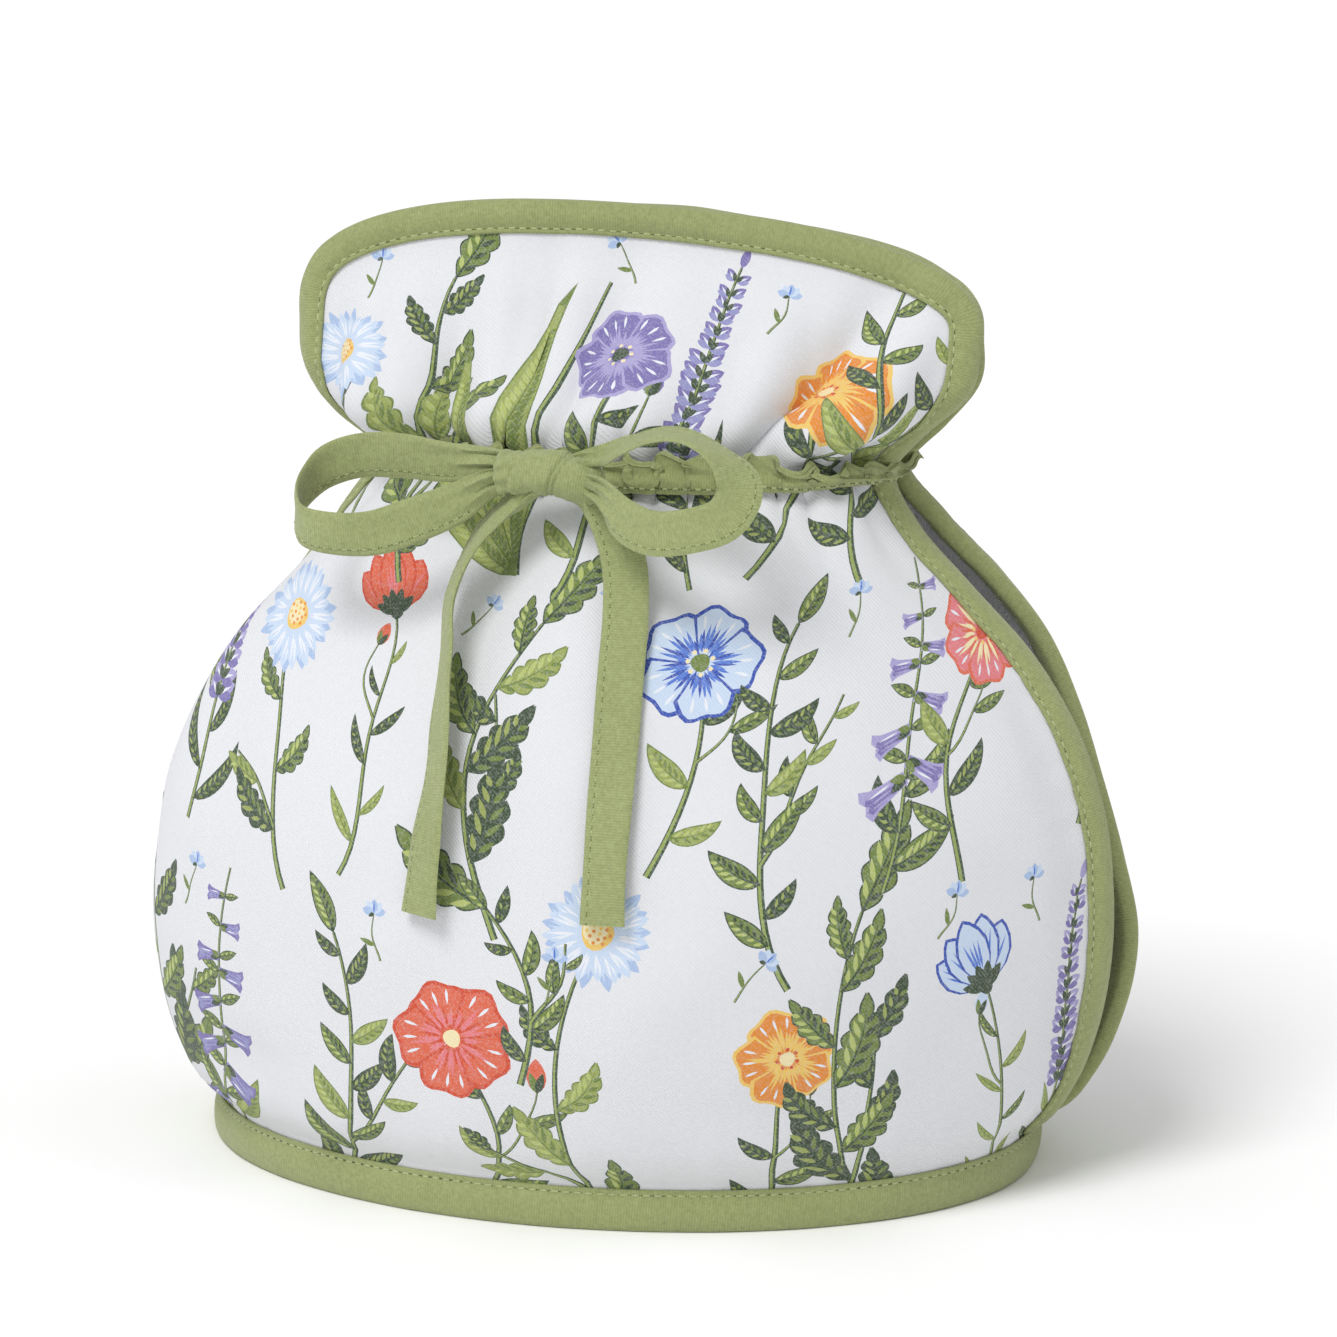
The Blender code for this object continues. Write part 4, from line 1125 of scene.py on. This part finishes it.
def stitches(path, normal, length=0.0020, pitch=STITCH_PITCH, radius=0.00021, hole_shade=0.00030):
    """A row of stitches along a line on the cloth, and dark discs of painted shade for the needle holes at their
    ends.
    """
    run = run_along(path)
    total = np.linalg.norm(np.diff(path, axis=0), axis=1).sum()
    count = max(1, int(total / pitch))
    begin = (np.arange(count) + 0.15) * (total / count)

    def spot(at):
        """The places on the line, and the ways out of the cloth, along the line and across it."""
        out = unit(between(at, run, normal))
        way = unit(between(at + SPOT_STEP, run, path) - between(at - SPOT_STEP, run, path))
        return between(at, run, path), out, way, np.cross(out, way)

    rings = []
    turn = turns(STITCH_SIDES)[:, None]
    for part, fat, low in STITCH_ROWS:
        centre, out, _, side = spot(begin + part * length)
        centre = centre + out * radius * low
        round_it = side[:, None] * np.cos(turn) * 1.15 + out[:, None] * np.sin(turn)
        rings.append(centre[:, None] + radius * fat * round_it)
    per = len(STITCH_ROWS) * STITCH_SIDES
    faces = []
    for i in range(0, per - STITCH_SIDES, STITCH_SIDES):
        for j in range(STITCH_SIDES):
            k, after = (j + 1) % STITCH_SIDES, i + STITCH_SIDES
            faces.append((i + k, i + j, after + j, after + k))
    for first, flip in ((0, 1), (per - STITCH_SIDES, -1)):
        for part in ((0, 1, 2, 3), (3, 4, 5, 0)):
            faces.append([first + corner for corner in part[::flip]])
    thread = np.stack(rings, axis=1).reshape(-1, 3), copies(faces, count, per), THREAD_INK

    # dark discs of painted shade where the needle holes are
    hole_shades, faces = [], []
    turn = turns(HOLE_CORNERS)[:, None]
    for at in (begin - HOLE_AWAY, begin + length + HOLE_AWAY):
        centre, out, way, side = spot(at)
        round_it = way[:, None] * np.cos(turn) + side[:, None] * np.sin(turn)
        ring = (centre + out * 0.00002)[:, None] + hole_shade * round_it
        ends = np.stack([centre + out * 0.00007, centre - out * 0.00015], axis=1)
        hole_shades.append(np.concatenate([ring, ends], axis=1))
    for j in range(HOLE_CORNERS):
        k = (j + 1) % HOLE_CORNERS
        faces += [(j, k, HOLE_CORNERS), (k, j, HOLE_CORNERS + 1)]
    per = HOLE_CORNERS + 2
    return [thread, (np.concatenate(hole_shades).reshape(-1, 3), copies(faces, 2 * count, per), HOLE_SHADE_INK)]


WALK_STEPS = 10
RIM_STEP = 0.0013  # m between a binding's stations


def make_binding(name, side, finish):
    """A folded strip round a panel's sides and top, stitched through near its inner edge."""
    surface = SURFACES[side]
    s, z = surface.rim(HEM_HEIGHT + 0.0006, RIM_STEP)
    edge, normal = surface.point(s, z), surface.normal(s, z)
    inward = unit(np.cross(normal, directions_along(edge)) * side)
    station = np.arange(len(s))
    width = BINDING_WIDTH * (1 + 0.025 * waves(station * 0.09, 0.0, 21 + side))
    reach = BINDING_WIDTH * 1.06
    walked = surface.walk_in(s, z, inward, reach, WALK_STEPS)

    def cloth_at(share):
        place = np.clip(share * width / reach * WALK_STEPS, 0, WALK_STEPS)
        k = np.clip(place.astype(int), 0, WALK_STEPS - 1)
        part = place - k
        found = [table[k, station] * (1 - part) + table[k + 1, station] * part for table in walked]
        return surface.point(*found), surface.normal(*found)

    pucker = 0.00010 * np.sin(station * RIM_STEP / STITCH_PITCH * 2 * math.pi)
    pucker = pucker + 0.00009 * waves(station * 0.5, 1.0, 31 + side)
    plump = 1 + 0.06 * waves(station * 0.16, 2.0, 41 + side)
    outer, inner = [], []
    for share, out in HALF_BINDING:
        middle, middle_normal = cloth_at(share)
        near_stitch = hump((share - 0.62) / 0.16) + hump((share - 0.95) / 0.05)
        rise = (HOLD + out * plump + (pucker * near_stitch if out > 0.0003 else 0))[:, None]
        outer.append(middle + middle_normal * rise)
        inner.append(middle - middle_normal * rise)
    skin = (HOLD + 0.00112 * plump)[:, None]
    turned_over = []
    for angle in (62, 34, 0, -34, -62):
        c, d = math.cos(math.radians(angle)), math.sin(math.radians(angle))
        turned_over.append(edge - inward * 0.00105 * c - inward * 0.0002 + normal * skin * d)
    hollow = [cloth_at(share) for share in (0.98, 0.7, 0.4, 0.12)]
    rings = outer + turned_over + inner[::-1]
    rings += [m - n * HOLD * 0.99 for m, n in hollow]
    rings += [edge - inward * 0.0001 + normal * HOLD * 0.9 * way for way in (-1, 1)]
    rings += [m + n * HOLD * 0.99 for m, n in hollow[::-1]]
    rings = np.stack(rings, axis=1)
    rings[:, :, 2] = np.maximum(rings[:, :, 2], HEM_HEIGHT + 0.0005)
    middle, middle_normal = cloth_at(STITCH_AT)
    keep = middle[:, 2] > HEM_HEIGHT + 0.001
    extras = []
    for out in (middle_normal, -middle_normal):
        line = middle + out * (HOLD + STITCH_OUT * plump[:, None])
        extras += stitches(line[keep], out[keep])
    if side == FRONT:
        rings = rings[:, ::-1]
    return make_strip(name, rings, finish, BINDING_INKS, extras=extras)


HEM_STATIONS = 430


def loop_round(z):
    """Points round the loop through both panels at one height, and their outward normals."""
    even = np.linspace(-1, 1, 300)
    level = np.full(len(even), z)
    loop = np.concatenate([section(FRONT, even, level), section(BACK, even[::-1], level)])
    loop = np.concatenate([loop, loop[:1]])
    place = even_places(loop, HEM_STATIONS + 1)[:-1]
    points = between(place, np.arange(len(loop)), loop)
    tangent = np.roll(points, -2, axis=0) - np.roll(points, 2, axis=0)
    return points, unit(np.stack([tangent[:, 1], -tangent[:, 0], np.zeros(HEM_STATIONS)], axis=1))


def make_hem(name, finish):
    """The strip that closes round both panels' lower edges and lies on the table."""
    low, normal = loop_round(0.0)
    high, _ = loop_round(HEM_HEIGHT)
    station = np.arange(HEM_STATIONS) / HEM_STATIONS * 2 * math.pi
    plump = 1 + 0.05 * np.sin(station * 13 + np.sin(station * 5)) + 0.04 * np.sin(station * 29)
    pucker = 0.00008 * np.sin(station * HEM_STATIONS * 0.52)

    def ring_at(share, offset):
        ring = low + (high - low) * share + offset
        ring[:, 2] = HEM_HEIGHT * share
        return ring

    outer, inner = [], []
    for share, out in HALF_HEM:
        rise = HOLD + out * (plump if out > 0.0003 else 1) + (pucker if 0.65 < share < 0.99 else 0 * pucker)
        outer.append(ring_at(share, normal * rise[:, None]))
        inner.append(ring_at(share, -normal * rise[:, None]))
    bottom = [ring_at(0, normal * out) for out in (0.0007, 0.0, -0.0007)]
    hollow = [ring_at(share, -normal * HOLD * 0.99) for share in (0.98, 0.55, 0.16)]
    hollow += [ring_at(share, normal * HOLD * 0.99) for share in (0.16, 0.55, 0.98)]
    rings = np.stack(outer + bottom + inner[::-1] + hollow, axis=1)
    extras = []
    middle = ring_at(HEM_STITCH_AT, 0)
    for out in (normal, -normal):
        line = middle + out * (HOLD + STITCH_OUT * plump)[:, None]
        extras += stitches(*(np.concatenate([table, table[:1]]) for table in (line, out)))
    return make_strip(name, rings, finish, BINDING_INKS, closed=True, extras=extras)


CASING_BELOW, CASING_ABOVE = 0.0046, 0.0050
CASING_RUFFLES, CASING_STATIONS = 38, 760
CASING_LIFT, CASING_MOUTH = 0.0026, 0.030
BRIDGE_STEP = 0.0006  # m between the casing's points where it crosses from panel to panel
CASING_ROWS = (-1.0, -0.93, -0.80, -0.62, -0.42, -0.22, -0.04, 0.12, 0.28, 0.44, 0.60, 0.75, 0.88, 0.97, 1.0)
UP = np.array([0, 0, 1.0])


def casing_line(level):
    """One level of the casing's round, with its normals: the front's right half, the back, the front's left."""
    points, normals = [], []
    for side, first, last, count in (
        (FRONT, CASING_MOUTH, 1, 170),
        (BACK, 1, -1, 340),
        (FRONT, -1, -CASING_MOUTH, 170),
    ):
        s = np.linspace(first, last, count)
        middle = NECK_HEIGHT - 0.0008 + 0.0016 * (1 - s * s) + (0.0012 if side == BACK else 0.0)
        z = middle + level * (1 - (0.5 if level > 0 else 0.3) * s * s)
        base, out = section(side, s, z), SURFACES[side].normal(s, z)
        if points:
            before, way = points[-1][-1], normals[-1][-1]
            steps = max(2, int(np.linalg.norm(base[0] - before) / BRIDGE_STEP))
            t = np.linspace(0, 1, steps + 2)[1:-1, None]
            points.append(before * (1 - t) + base[0] * t)
            normals.append(unit(way * (1 - t) + out[0] * t))
        points.append(base)
        normals.append(out)
    return np.concatenate(points), np.concatenate(normals)


def softened(table):
    """A line of points with its corners rounded."""
    kernel = hump(np.linspace(-2, 2, 9))
    padded = np.pad(table, ((4, 4), (0, 0)), mode="edge")
    return np.stack([np.convolve(padded[:, c], kernel / kernel.sum(), "valid") for c in range(3)], axis=1)


def make_casing(name, finish):
    """The gathered strip round the neck, with a ruffled upper edge and its mouth at the front."""
    tables = [softened(t) for level in (-CASING_BELOW, 0.0, CASING_ABOVE) for t in casing_line(level)]
    run = run_along(tables[2])
    place = np.interp(np.linspace(0, run[-1], CASING_STATIONS), run, np.arange(len(run)))
    low, low_out, middle, middle_out, high, high_out = (between(place, np.arange(len(t)), t) for t in tables)
    turn = np.linspace(0, 2 * math.pi, CASING_STATIONS) * CASING_RUFFLES
    uneven = turn + 0.6 * np.sin(turn * 0.23) + 0.35 * np.sin(turn * 0.37 + 1)
    size = 1 + 0.16 * np.sin(turn * 0.31 + 2) + 0.10 * np.sin(turn * 0.71)
    tangent = directions_along(middle)
    bend = np.linalg.norm(np.roll(tangent, -8, axis=0) - np.roll(tangent, 8, axis=0), axis=1)
    bend = np.convolve(np.pad(bend, 12, mode="edge"), np.ones(25) / 25, "valid")
    calm = 1 / (1 + 9.0 * bend)  # the ruffles are shallower where the casing turns at the panels' sides
    size = size * calm
    rows = []
    for h in CASING_ROWS:
        t, far, far_out = (h, high, high_out) if h > 0 else (-h, low, low_out)
        base, out = middle * (1 - t) + far * t, unit(middle_out * (1 - t) + far_out * t)
        grow = smooth((h + 0.75) / 1.75)
        phase = uneven + 1.7 * h
        wave = np.cos(phase + 0.35 * np.sin(phase)) + 0.10 * np.cos(2 * phase + 0.8)
        tucks = np.sin(3 * phase + 0.8 * np.sin(uneven * 0.6)) * (1 - 0.75 * smooth((h - 0.2) / 0.7))
        channel = 0.0013 * hump((h + 0.50) / 0.36) * (1 + 0.15 * wave)
        lip = 0.0005 * smooth((h - 0.80) / 0.2)
        offset = CASING_LIFT + channel - 0.0017 * wave * size * grow + 0.0015 * grow + lip
        offset = offset + 0.00050 * calm * tucks * smooth((h + 1.0) / 0.3) - 0.0004 * smooth((-h - 0.85) / 0.15)
        sway = (0.0013 * np.sin(phase - 0.4) + 0.0007 * wave) * size * grow
        rise = 0.0017 * wave * size * smooth((h + 0.2) / 1.2) ** 1.3
        rows.append(base + out * offset[:, None] + tangent * sway[:, None] + UP * rise[:, None])
    top = rows[-1]
    shift = (0.00025 * np.sin(uneven * 1.7))[:, None] * tangent
    fold = [
        top - high_out * 0.0006 + UP * 0.00008,
        top - high_out * 0.0009 - UP * 0.00045,
        top - high_out * 0.0012 + UP * 0.00030 + shift,
        top - high_out * 0.0018 + UP * 0.00038 + shift,
        top - high_out * 0.0021 + UP * 0.00005 + shift,
    ]
    behind = ((11, high_out, 0.0017), (7, middle_out, 0.0017), (4, middle_out, 0.0011), (1, low_out, 0.0011))
    rings = np.stack(rows + fold + [rows[k] - out * deep for k, out, deep in behind], axis=1)
    extras = stitches(rows[2] + low_out * 0.00006, low_out, pitch=0.0024, length=0.0015)
    return make_strip(name, rings[:, ::-1], finish, BINDING_INKS, extras=extras)

# ---- The bow, as on the solids ------------------------------------------------------------------------
KNOT_X, KNOT_Y, KNOT_Z = -0.0035, -0.0520, 0.1718
# Along the knot, in 0.1 mm: x, radius, depth and rise.
KNOT = table_of(
    10000,
    """
    -128 26 24 0
    -124 40 36 0
    -112 49 44 1
    -80 52 49 2
    -30 52 51 2
    10 51 51 1
    35 50 50 0
    70 49 48 -4
    98 45 43 -9
    112 36 34 -12
    118 22 22 -14
    """,
)
# The middle of each strap from the knot, in 0.1 mm, and the way its width lies.
LOOP_UNITS = (10000, 10000, 10000, 100, 100, 100)
LEFT_LOOP = table_of(
    LOOP_UNITS,
    """
    -85 -520 1728 0 15 100
    -166 -515 1740 0 10 100
    -285 -490 1730 0 5 100
    -400 -465 1735 0 0 100
    -510 -455 1727 0 -5 100
    -590 -470 1692 10 -10 100
    -625 -530 1635 10 -10 100
    -600 -600 1588 0 -10 100
    -520 -640 1580 0 -5 100
    -420 -645 1590 0 0 100
    -330 -620 1620 0 10 100
    -240 -580 1655 0 15 100
    -171 -542 1692 0 15 100
    -85 -528 1708 0 15 100
    """,
)
RIGHT_LOOP = table_of(
    LOOP_UNITS,
    """
    12 -515 1738 0 -70 -55
    85 -515 1765 0 -90 -35
    145 -545 1800 -10 -90 -30
    225 -570 1832 -20 -90 -20
    320 -600 1830 -50 -80 10
    400 -640 1795 -80 -45 30
    440 -670 1735 -90 -15 50
    410 -690 1672 -50 5 85
    330 -695 1640 -15 10 100
    240 -675 1625 0 15 100
    160 -635 1645 10 20 95
    95 -575 1690 -10 20 95
    22 -535 1704 -10 20 95
    """,
)
# Down each end: x and height in 0.1 mm, turn in degrees and distance out in 0.1 mm.
END_UNITS = (10000, 10000, 1, 10000)
LEFT_END = table_of(
    END_UNITS,
    """
    -60 1706 -30 100
    -120 1652 -35 80
    -200 1570 -50 75
    -245 1450 -52 40
    -240 1320 -50 10
    -232 1180 -44 0
    -232 1040 -36 0
    -246 900 -24 0
    -256 765 -10 0
    """,
)
RIGHT_END = table_of(
    END_UNITS,
    """
    10 1700 20 100
    75 1664 20 80
    138 1560 15 65
    160 1440 8 30
    168 1320 4 8
    176 1180 0 0
    178 1040 0 0
    178 900 0 0
    178 775 0 0
    """,
)

ACROSS = (-0.5, -0.48, -0.44, -0.40, -0.36, -0.32, -0.24, -0.14, -0.04, 0.06, 0.16, 0.26, 0.35, 0.43, 0.48)
STRAP_STITCH = -0.34  # of a strap's width from its middle
STRAP_STEP, PATH_SAMPLES, END_STEPS = 0.0012, 400, 84
KNOT_STEPS, KNOT_SIDES = 90, 84
# Across the knot: where a crease is, how deep and how wide, in metres.
KNOT_CREASES = ((0.0018, 0.00075, 0.00042), (0.0031, 0.00060, 0.00042), (-0.0080, 0.00050, 0.0008))


def front_face(x, z):
    """y of the front panel's outer face at x and z, before folds."""
    level = level_at(FRONT, z)
    left, right = level[:2]
    angle = np.arcsin(np.clip((x - (right - left) / 2) / ((right + left) / 2), -1, 1))
    return -outline_point(level, angle)[1] - PANEL_THICKNESS / 2


def make_strap(name, middle, width_way, gathered, finish, seed):
    """A flat strap of two layers with soft edges; gathered is 1 where it is bunched into pleats."""
    tangent = directions_along(middle)
    width_way = unit(width_way - tangent * (width_way * tangent).sum(axis=1)[:, None])
    face = np.cross(tangent, width_way)
    run = run_along(middle)
    uneven = 1 + 0.025 * waves(run * 130, 0.0, seed)
    wide = STRAP_WIDTH * (1 - 0.50 * gathered) * uneven
    drift = 0.00030 * waves(run * 90, 3.0, seed + 9)
    thick = 0.00120 * (1 + 0.6 * gathered)
    near = np.sqrt(np.clip(gathered, 0, 1))

    def surface_at(across, out):
        pleat = gathered * (0.00095 * np.sin(across * 15 + seed + run * 120) + 0.0005 * np.sin(across * 29))
        wrinkle = (0.00010 + 0.00030 * near) * waves(run * 300 + across * 5, across * 6.0 - run * 90, seed + 5)
        ripple = 0.00022 * abs(across) ** 2 * 4 * np.sin(run * 260 + seed + 2 * across)
        edge = 1 - smooth((abs(across) - 0.38) / 0.12) * 0.66
        seam = -0.00012 * hump((across + 0.36) / 0.035) if out > 0 or across < 0 else 0.0
        rise = out * (thick * edge / 2 + seam) + pleat + wrinkle + ripple
        return middle + width_way * (wide * across + drift)[:, None] + face * rise[:, None]

    rings = [surface_at(a, -1) for a in ACROSS] + [surface_at(0.5, 0)]
    rings += [surface_at(a, 1) for a in ACROSS[:0:-1]]
    extras = []
    flat = gathered < 0.30
    for out in (-1, 1):
        line = surface_at(STRAP_STITCH, out) + face * out * 0.00001
        extras += stitches(line[flat], out * face[flat], 0.0016, 0.0024, 0.00015, 0.00022)
    return make_strip(name, np.stack(rings, axis=1), finish, TIE_INKS, extras=extras)


def make_loop(name, rows, finish, seed):
    """A strap that leaves the knot and comes back to it."""
    knots = np.linspace(0, 1, len(rows))
    path = spline(knots, rows[:, :3], np.linspace(0, 1, PATH_SAMPLES))
    steps = int(np.linalg.norm(np.diff(path, axis=0), axis=1).sum() / STRAP_STEP)
    place = even_places(path, steps) / (PATH_SAMPLES - 1)
    found = spline(knots, rows, place)
    middle = found[:, :3] + np.array([AXIS_X, AXIS_Y, 0])
    gathered = hump(np.minimum(place, 1 - place) / 0.125)
    return make_strap(name, middle, found[:, 3:], gathered, finish, seed)


def make_end(name, rows, finish, seed):
    """A strap that hangs from the knot over the front panel."""
    place = np.linspace(0, 1, END_STEPS)
    x, z, turn, lift = spline(np.linspace(0, 1, len(rows)), rows, place).T
    slack = STRAP_CLEARANCE + STRAP_THICKNESS / 2 + STRAP_WIDTH / 2 * np.abs(np.sin(np.radians(turn)))
    y = np.minimum.accumulate(front_face(x, z) - slack - np.maximum(lift, 0))
    lean = (front_face(x + 0.003, z) - front_face(x - 0.003, z)) / 0.006
    angle = np.radians(turn) + np.arctan(lean)
    width_way = np.stack([np.cos(angle), np.sin(angle), np.zeros(END_STEPS)], axis=1)
    middle = np.stack([x + AXIS_X, y + AXIS_Y, z], axis=1)
    return make_strap(name, middle, width_way, hump(place / 0.13), finish, seed)


def make_knot(name, finish):
    """The knot: one strap wrapped round the others, with a double crease across it and pleats at its ends."""
    rows = spline(np.linspace(0, 1, len(KNOT)), KNOT, np.linspace(0, 1, KNOT_STEPS))
    turn = turns(KNOT_SIDES)
    lean = 0.0016 * np.sin(turn + 0.4)
    rings = []
    for x, radius, depth, rise in rows:
        crease = np.zeros(KNOT_SIDES)
        for start, deep, wide in KNOT_CREASES:
            crease -= deep * hump((x - start - lean) / wide)
        crease += 0.00030 * hump((x - 0.0066 - lean) / 0.0022)
        crease -= 0.00040 * hump((x + 0.0055 + 0.0042 * np.sin(turn - 0.5)) / 0.0009)
        pleats = np.sin(turn * 7 + 1.3 * np.sin(turn * 2) + x * 260)
        crease += 0.00042 * smooth((abs(x) - 0.0075) / 0.0040) * pleats
        crease += 0.00024 * waves(x * 420, np.sin(turn) * 1.6, 77)
        crease += 0.00010 * waves(x * 1500, turn * 3.0, 78)
        ring = [
            KNOT_X + x + AXIS_X + 0.0008 * np.sin(turn) * smooth((x + 0.004) / 0.008),
            KNOT_Y + AXIS_Y + (depth + crease) * np.cos(turn),
            KNOT_Z + rise + (radius + crease) * np.sin(turn) - 0.0010 * smooth((x - 0.002) / 0.006),
        ]
        rings.append(np.stack(ring, axis=1))
    return make_strip(name, np.stack(rings), finish, TIE_INKS)


# ---- Finishes -----------------------------------------------------------------------------------------


def make_cloth(name, yarn_mm, slant, weave_depth, mottle_and_weave_shade, sheen, fleck, yarn):
    """Cloth coloured by its Ink attribute, with weave, uneven colour, painted shade in the weave's grooves and a
    soft sheen.
    """
    finish = bpy.data.materials.new(name)
    finish.use_nodes = True
    nodes, links = finish.node_tree.nodes, finish.node_tree.links

    def node_of(kind, **settings):
        """A new node; a setting with a capital is one of its inputs."""
        node = nodes.new(kind)
        for setting, value in settings.items():
            if setting[0].isupper():
                node.inputs[setting].default_value = value
            else:
                setattr(node, setting, value)
        return node

    def number(operation, a, b=None):
        node = node_of("ShaderNodeMath", operation=operation)
        for socket, value in zip(node.inputs, (a, b)):
            if isinstance(value, (int, float)):
                socket.default_value = value
            elif value is not None:
                links.new(value, socket)
        return node.outputs[0]

    shader = nodes["Principled BSDF"]
    for socket, value in (
        ("Roughness", 0.9),
        ("Specular IOR Level", 0.25),
        ("Sheen Weight", sheen),
        ("Sheen Roughness", 0.55),
    ):
        shader.inputs[socket].default_value = value
    # the height of the weave, from cloth metres: two sets of yarns, slanted for twill
    split = node_of("ShaderNodeSeparateXYZ")
    links.new(node_of("ShaderNodeUVMap", uv_map="Cloth").outputs["UV"], split.inputs[0])
    x, y = (number("MULTIPLY", split.outputs[c], 2 * math.pi * 1000 / yarn_mm) for c in range(2))
    ridge = number("SINE", number("ADD", x, number("MULTIPLY", y, slant)))
    cross = number("MULTIPLY", *(number("SINE", number("MULTIPLY", along, 2.0)) for along in (x, y)))
    height = number("ADD", number("MULTIPLY", ridge, 0.6), number("MULTIPLY", cross, 0.4))
    # the colour, uneven from yarn to yarn, and painted shade of the weave
    where = node_of("ShaderNodeTexCoord")
    coarse = node_of("ShaderNodeTexNoise", Scale=60, Detail=3)
    fine = node_of("ShaderNodeTexNoise", Scale=900, Detail=3, Roughness=0.7)
    flecks = node_of("ShaderNodeTexNoise", Scale=1700, Detail=2)
    for texture in (coarse, fine, flecks):
        links.new(where.outputs["Object"], texture.inputs["Vector"])
    change = number("MULTIPLY", number("SUBTRACT", fine.outputs["Fac"], 0.5), mottle_and_weave_shade * 3.0)
    change = number("ADD", change, number("MULTIPLY", number("SUBTRACT", coarse.outputs["Fac"], 0.5), mottle_and_weave_shade * 0.9))
    # painted shade: the colour is darker in the weave's grooves and lighter on its ridges
    change = number("ADD", change, number("MULTIPLY", height, mottle_and_weave_shade * 0.35))
    mix = node_of("ShaderNodeVectorMath", operation="SCALE")
    links.new(node_of("ShaderNodeAttribute", attribute_name="Ink").outputs["Color"], mix.inputs[0])
    links.new(number("ADD", change, 1.0), mix.inputs["Scale"])
    # undyed yarn shows a little through the print and the heathered green
    bare = number("MULTIPLY", number("ADD", flecks.outputs["Fac"], number("MULTIPLY", height, 0.10)), fleck * 2.2)
    bare = number("MAXIMUM", number("SUBTRACT", bare, fleck * 0.95), 0.0)
    blend = node_of("ShaderNodeMix", data_type="RGBA")
    links.new(bare, blend.inputs["Factor"])
    links.new(mix.outputs[0], blend.inputs["A"])
    blend.inputs["B"].default_value = yarn
    links.new(blend.outputs["Result"], shader.inputs["Base Color"])
    bump = node_of("ShaderNodeBump", Strength=0.55, Distance=weave_depth)
    links.new(number("ADD", height, number("MULTIPLY", fine.outputs["Fac"], 1.6)), bump.inputs["Height"])
    links.new(bump.outputs["Normal"], shader.inputs["Normal"])
    return finish


# ---- Assembly -----------------------------------------------------------------------------------------
SURFACES = {side: Surface(side) for side in (FRONT, BACK)}
WEAVE_DEPTH = 0.00010
printed = make_cloth("printed_twill", 0.95, 1.0, WEAVE_DEPTH, 0.030, 0.10, 0.34, (0.70, 0.71, 0.74, 1))
bound = make_cloth("green_binding_cloth", 0.62, 0.0, WEAVE_DEPTH, 0.21, 0.22, 0.30, (0.52, 0.57, 0.30, 1))
tied = make_cloth("green_tie_cloth", 0.62, 0.0, WEAVE_DEPTH, 0.22, 0.22, 0.30, (0.58, 0.63, 0.36, 1))
repeats = repeated(draw_print())
pieces = (
    (make_panel("front_cloth", FRONT, repeats, printed), "front_panel", "printed_cloth", (0.300, 0.256), "draped"),
    (make_panel("back_cloth", BACK, repeats, printed), "back_panel", "printed_cloth", (0.300, 0.256), "draped"),
    (make_binding("front_edging", FRONT, bound), "front_binding", "green_binding", (0.020, 0.66), "folded"),
    (make_binding("back_edging", BACK, bound), "back_binding", "green_binding", (0.020, 0.66), "folded"),
    (make_hem("hem_edging", bound), "hem_binding", "green_binding", (0.026, 0.56), "folded"),
    (make_casing("neck_strip", bound), "neck_casing", "green_binding", (0.0115, 0.40), "gathered"),
    (make_knot("bow_knot", tied), "tie_knot", "green_tie", (0.0102, 0.045), "folded"),
    (make_loop("bow_loop_left", LEFT_LOOP, tied, 3), "tie_loop_left", "green_tie", (0.0102, 0.128), "folded"),
    (make_loop("bow_loop_right", RIGHT_LOOP, tied, 4), "tie_loop_right", "green_tie", (0.0102, 0.112), "folded"),
    (make_end("bow_end_left", LEFT_END, tied, 5), "tie_end_left", "green_tie", (0.0102, 0.112), "folded"),
    (make_end("bow_end_right", RIGHT_END, tied, 6), "tie_end_right", "green_tie", (0.0102, 0.112), "folded"),
)
for piece, node, slot, flat, held in pieces:
    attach(piece, "root")
    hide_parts(node)

# ---- Stage, light and camera --------------------------------------------------------------------------
floor_finish = bpy.data.materials.new("studio_floor")
floor_finish.use_nodes = True
floor_inputs = floor_finish.node_tree.nodes["Principled BSDF"].inputs
floor_inputs["Base Color"].default_value = (0.97, 0.97, 0.97, 1)
floor_inputs["Roughness"].default_value = 0.9
floor_mesh = bpy.data.meshes.new("studio_floor")
floor_mesh.from_pydata([(-8, -8, 0), (8, -8, 0), (8, 12, 0), (-8, 12, 0)], [], [(0, 1, 2, 3)])
floor_mesh.materials.append(floor_finish)
floor = link("studio_floor", floor_mesh)

world = bpy.data.worlds.new("studio")
bpy.context.scene.world = world
world.use_nodes = True
sky = world.node_tree.nodes["Background"].inputs
sky["Color"].default_value = (1.0, 1.0, 1.0, 1)
sky["Strength"].default_value = 0.63
bpy.context.scene.view_settings.view_transform = "Standard"

lamp = bpy.data.lights.new("key", "SUN")
lamp.energy = 1.75
lamp.angle = math.radians(25)
link("key", lamp).rotation_euler = Vector((0.32, 0.78, -1.15)).to_track_quat("-Z", "Y").to_euler()

AZIMUTH, ELEVATION, REACH = math.radians(14), math.radians(13.55), 1.5
target = Vector((0.0109 + AXIS_X, AXIS_Y, 0.1155))
level_reach = math.cos(ELEVATION)
way = Vector((math.sin(AZIMUTH) * level_reach, -math.cos(AZIMUTH) * level_reach, math.sin(ELEVATION)))
view = bpy.data.cameras.new("camera")
view.lens = 172.0
view.sensor_width = 36
camera = link("camera", view)
camera.location = target + way * REACH
camera.rotation_euler = (target - camera.location).to_track_quat("-Z", "Y").to_euler()
bpy.context.scene.camera = camera
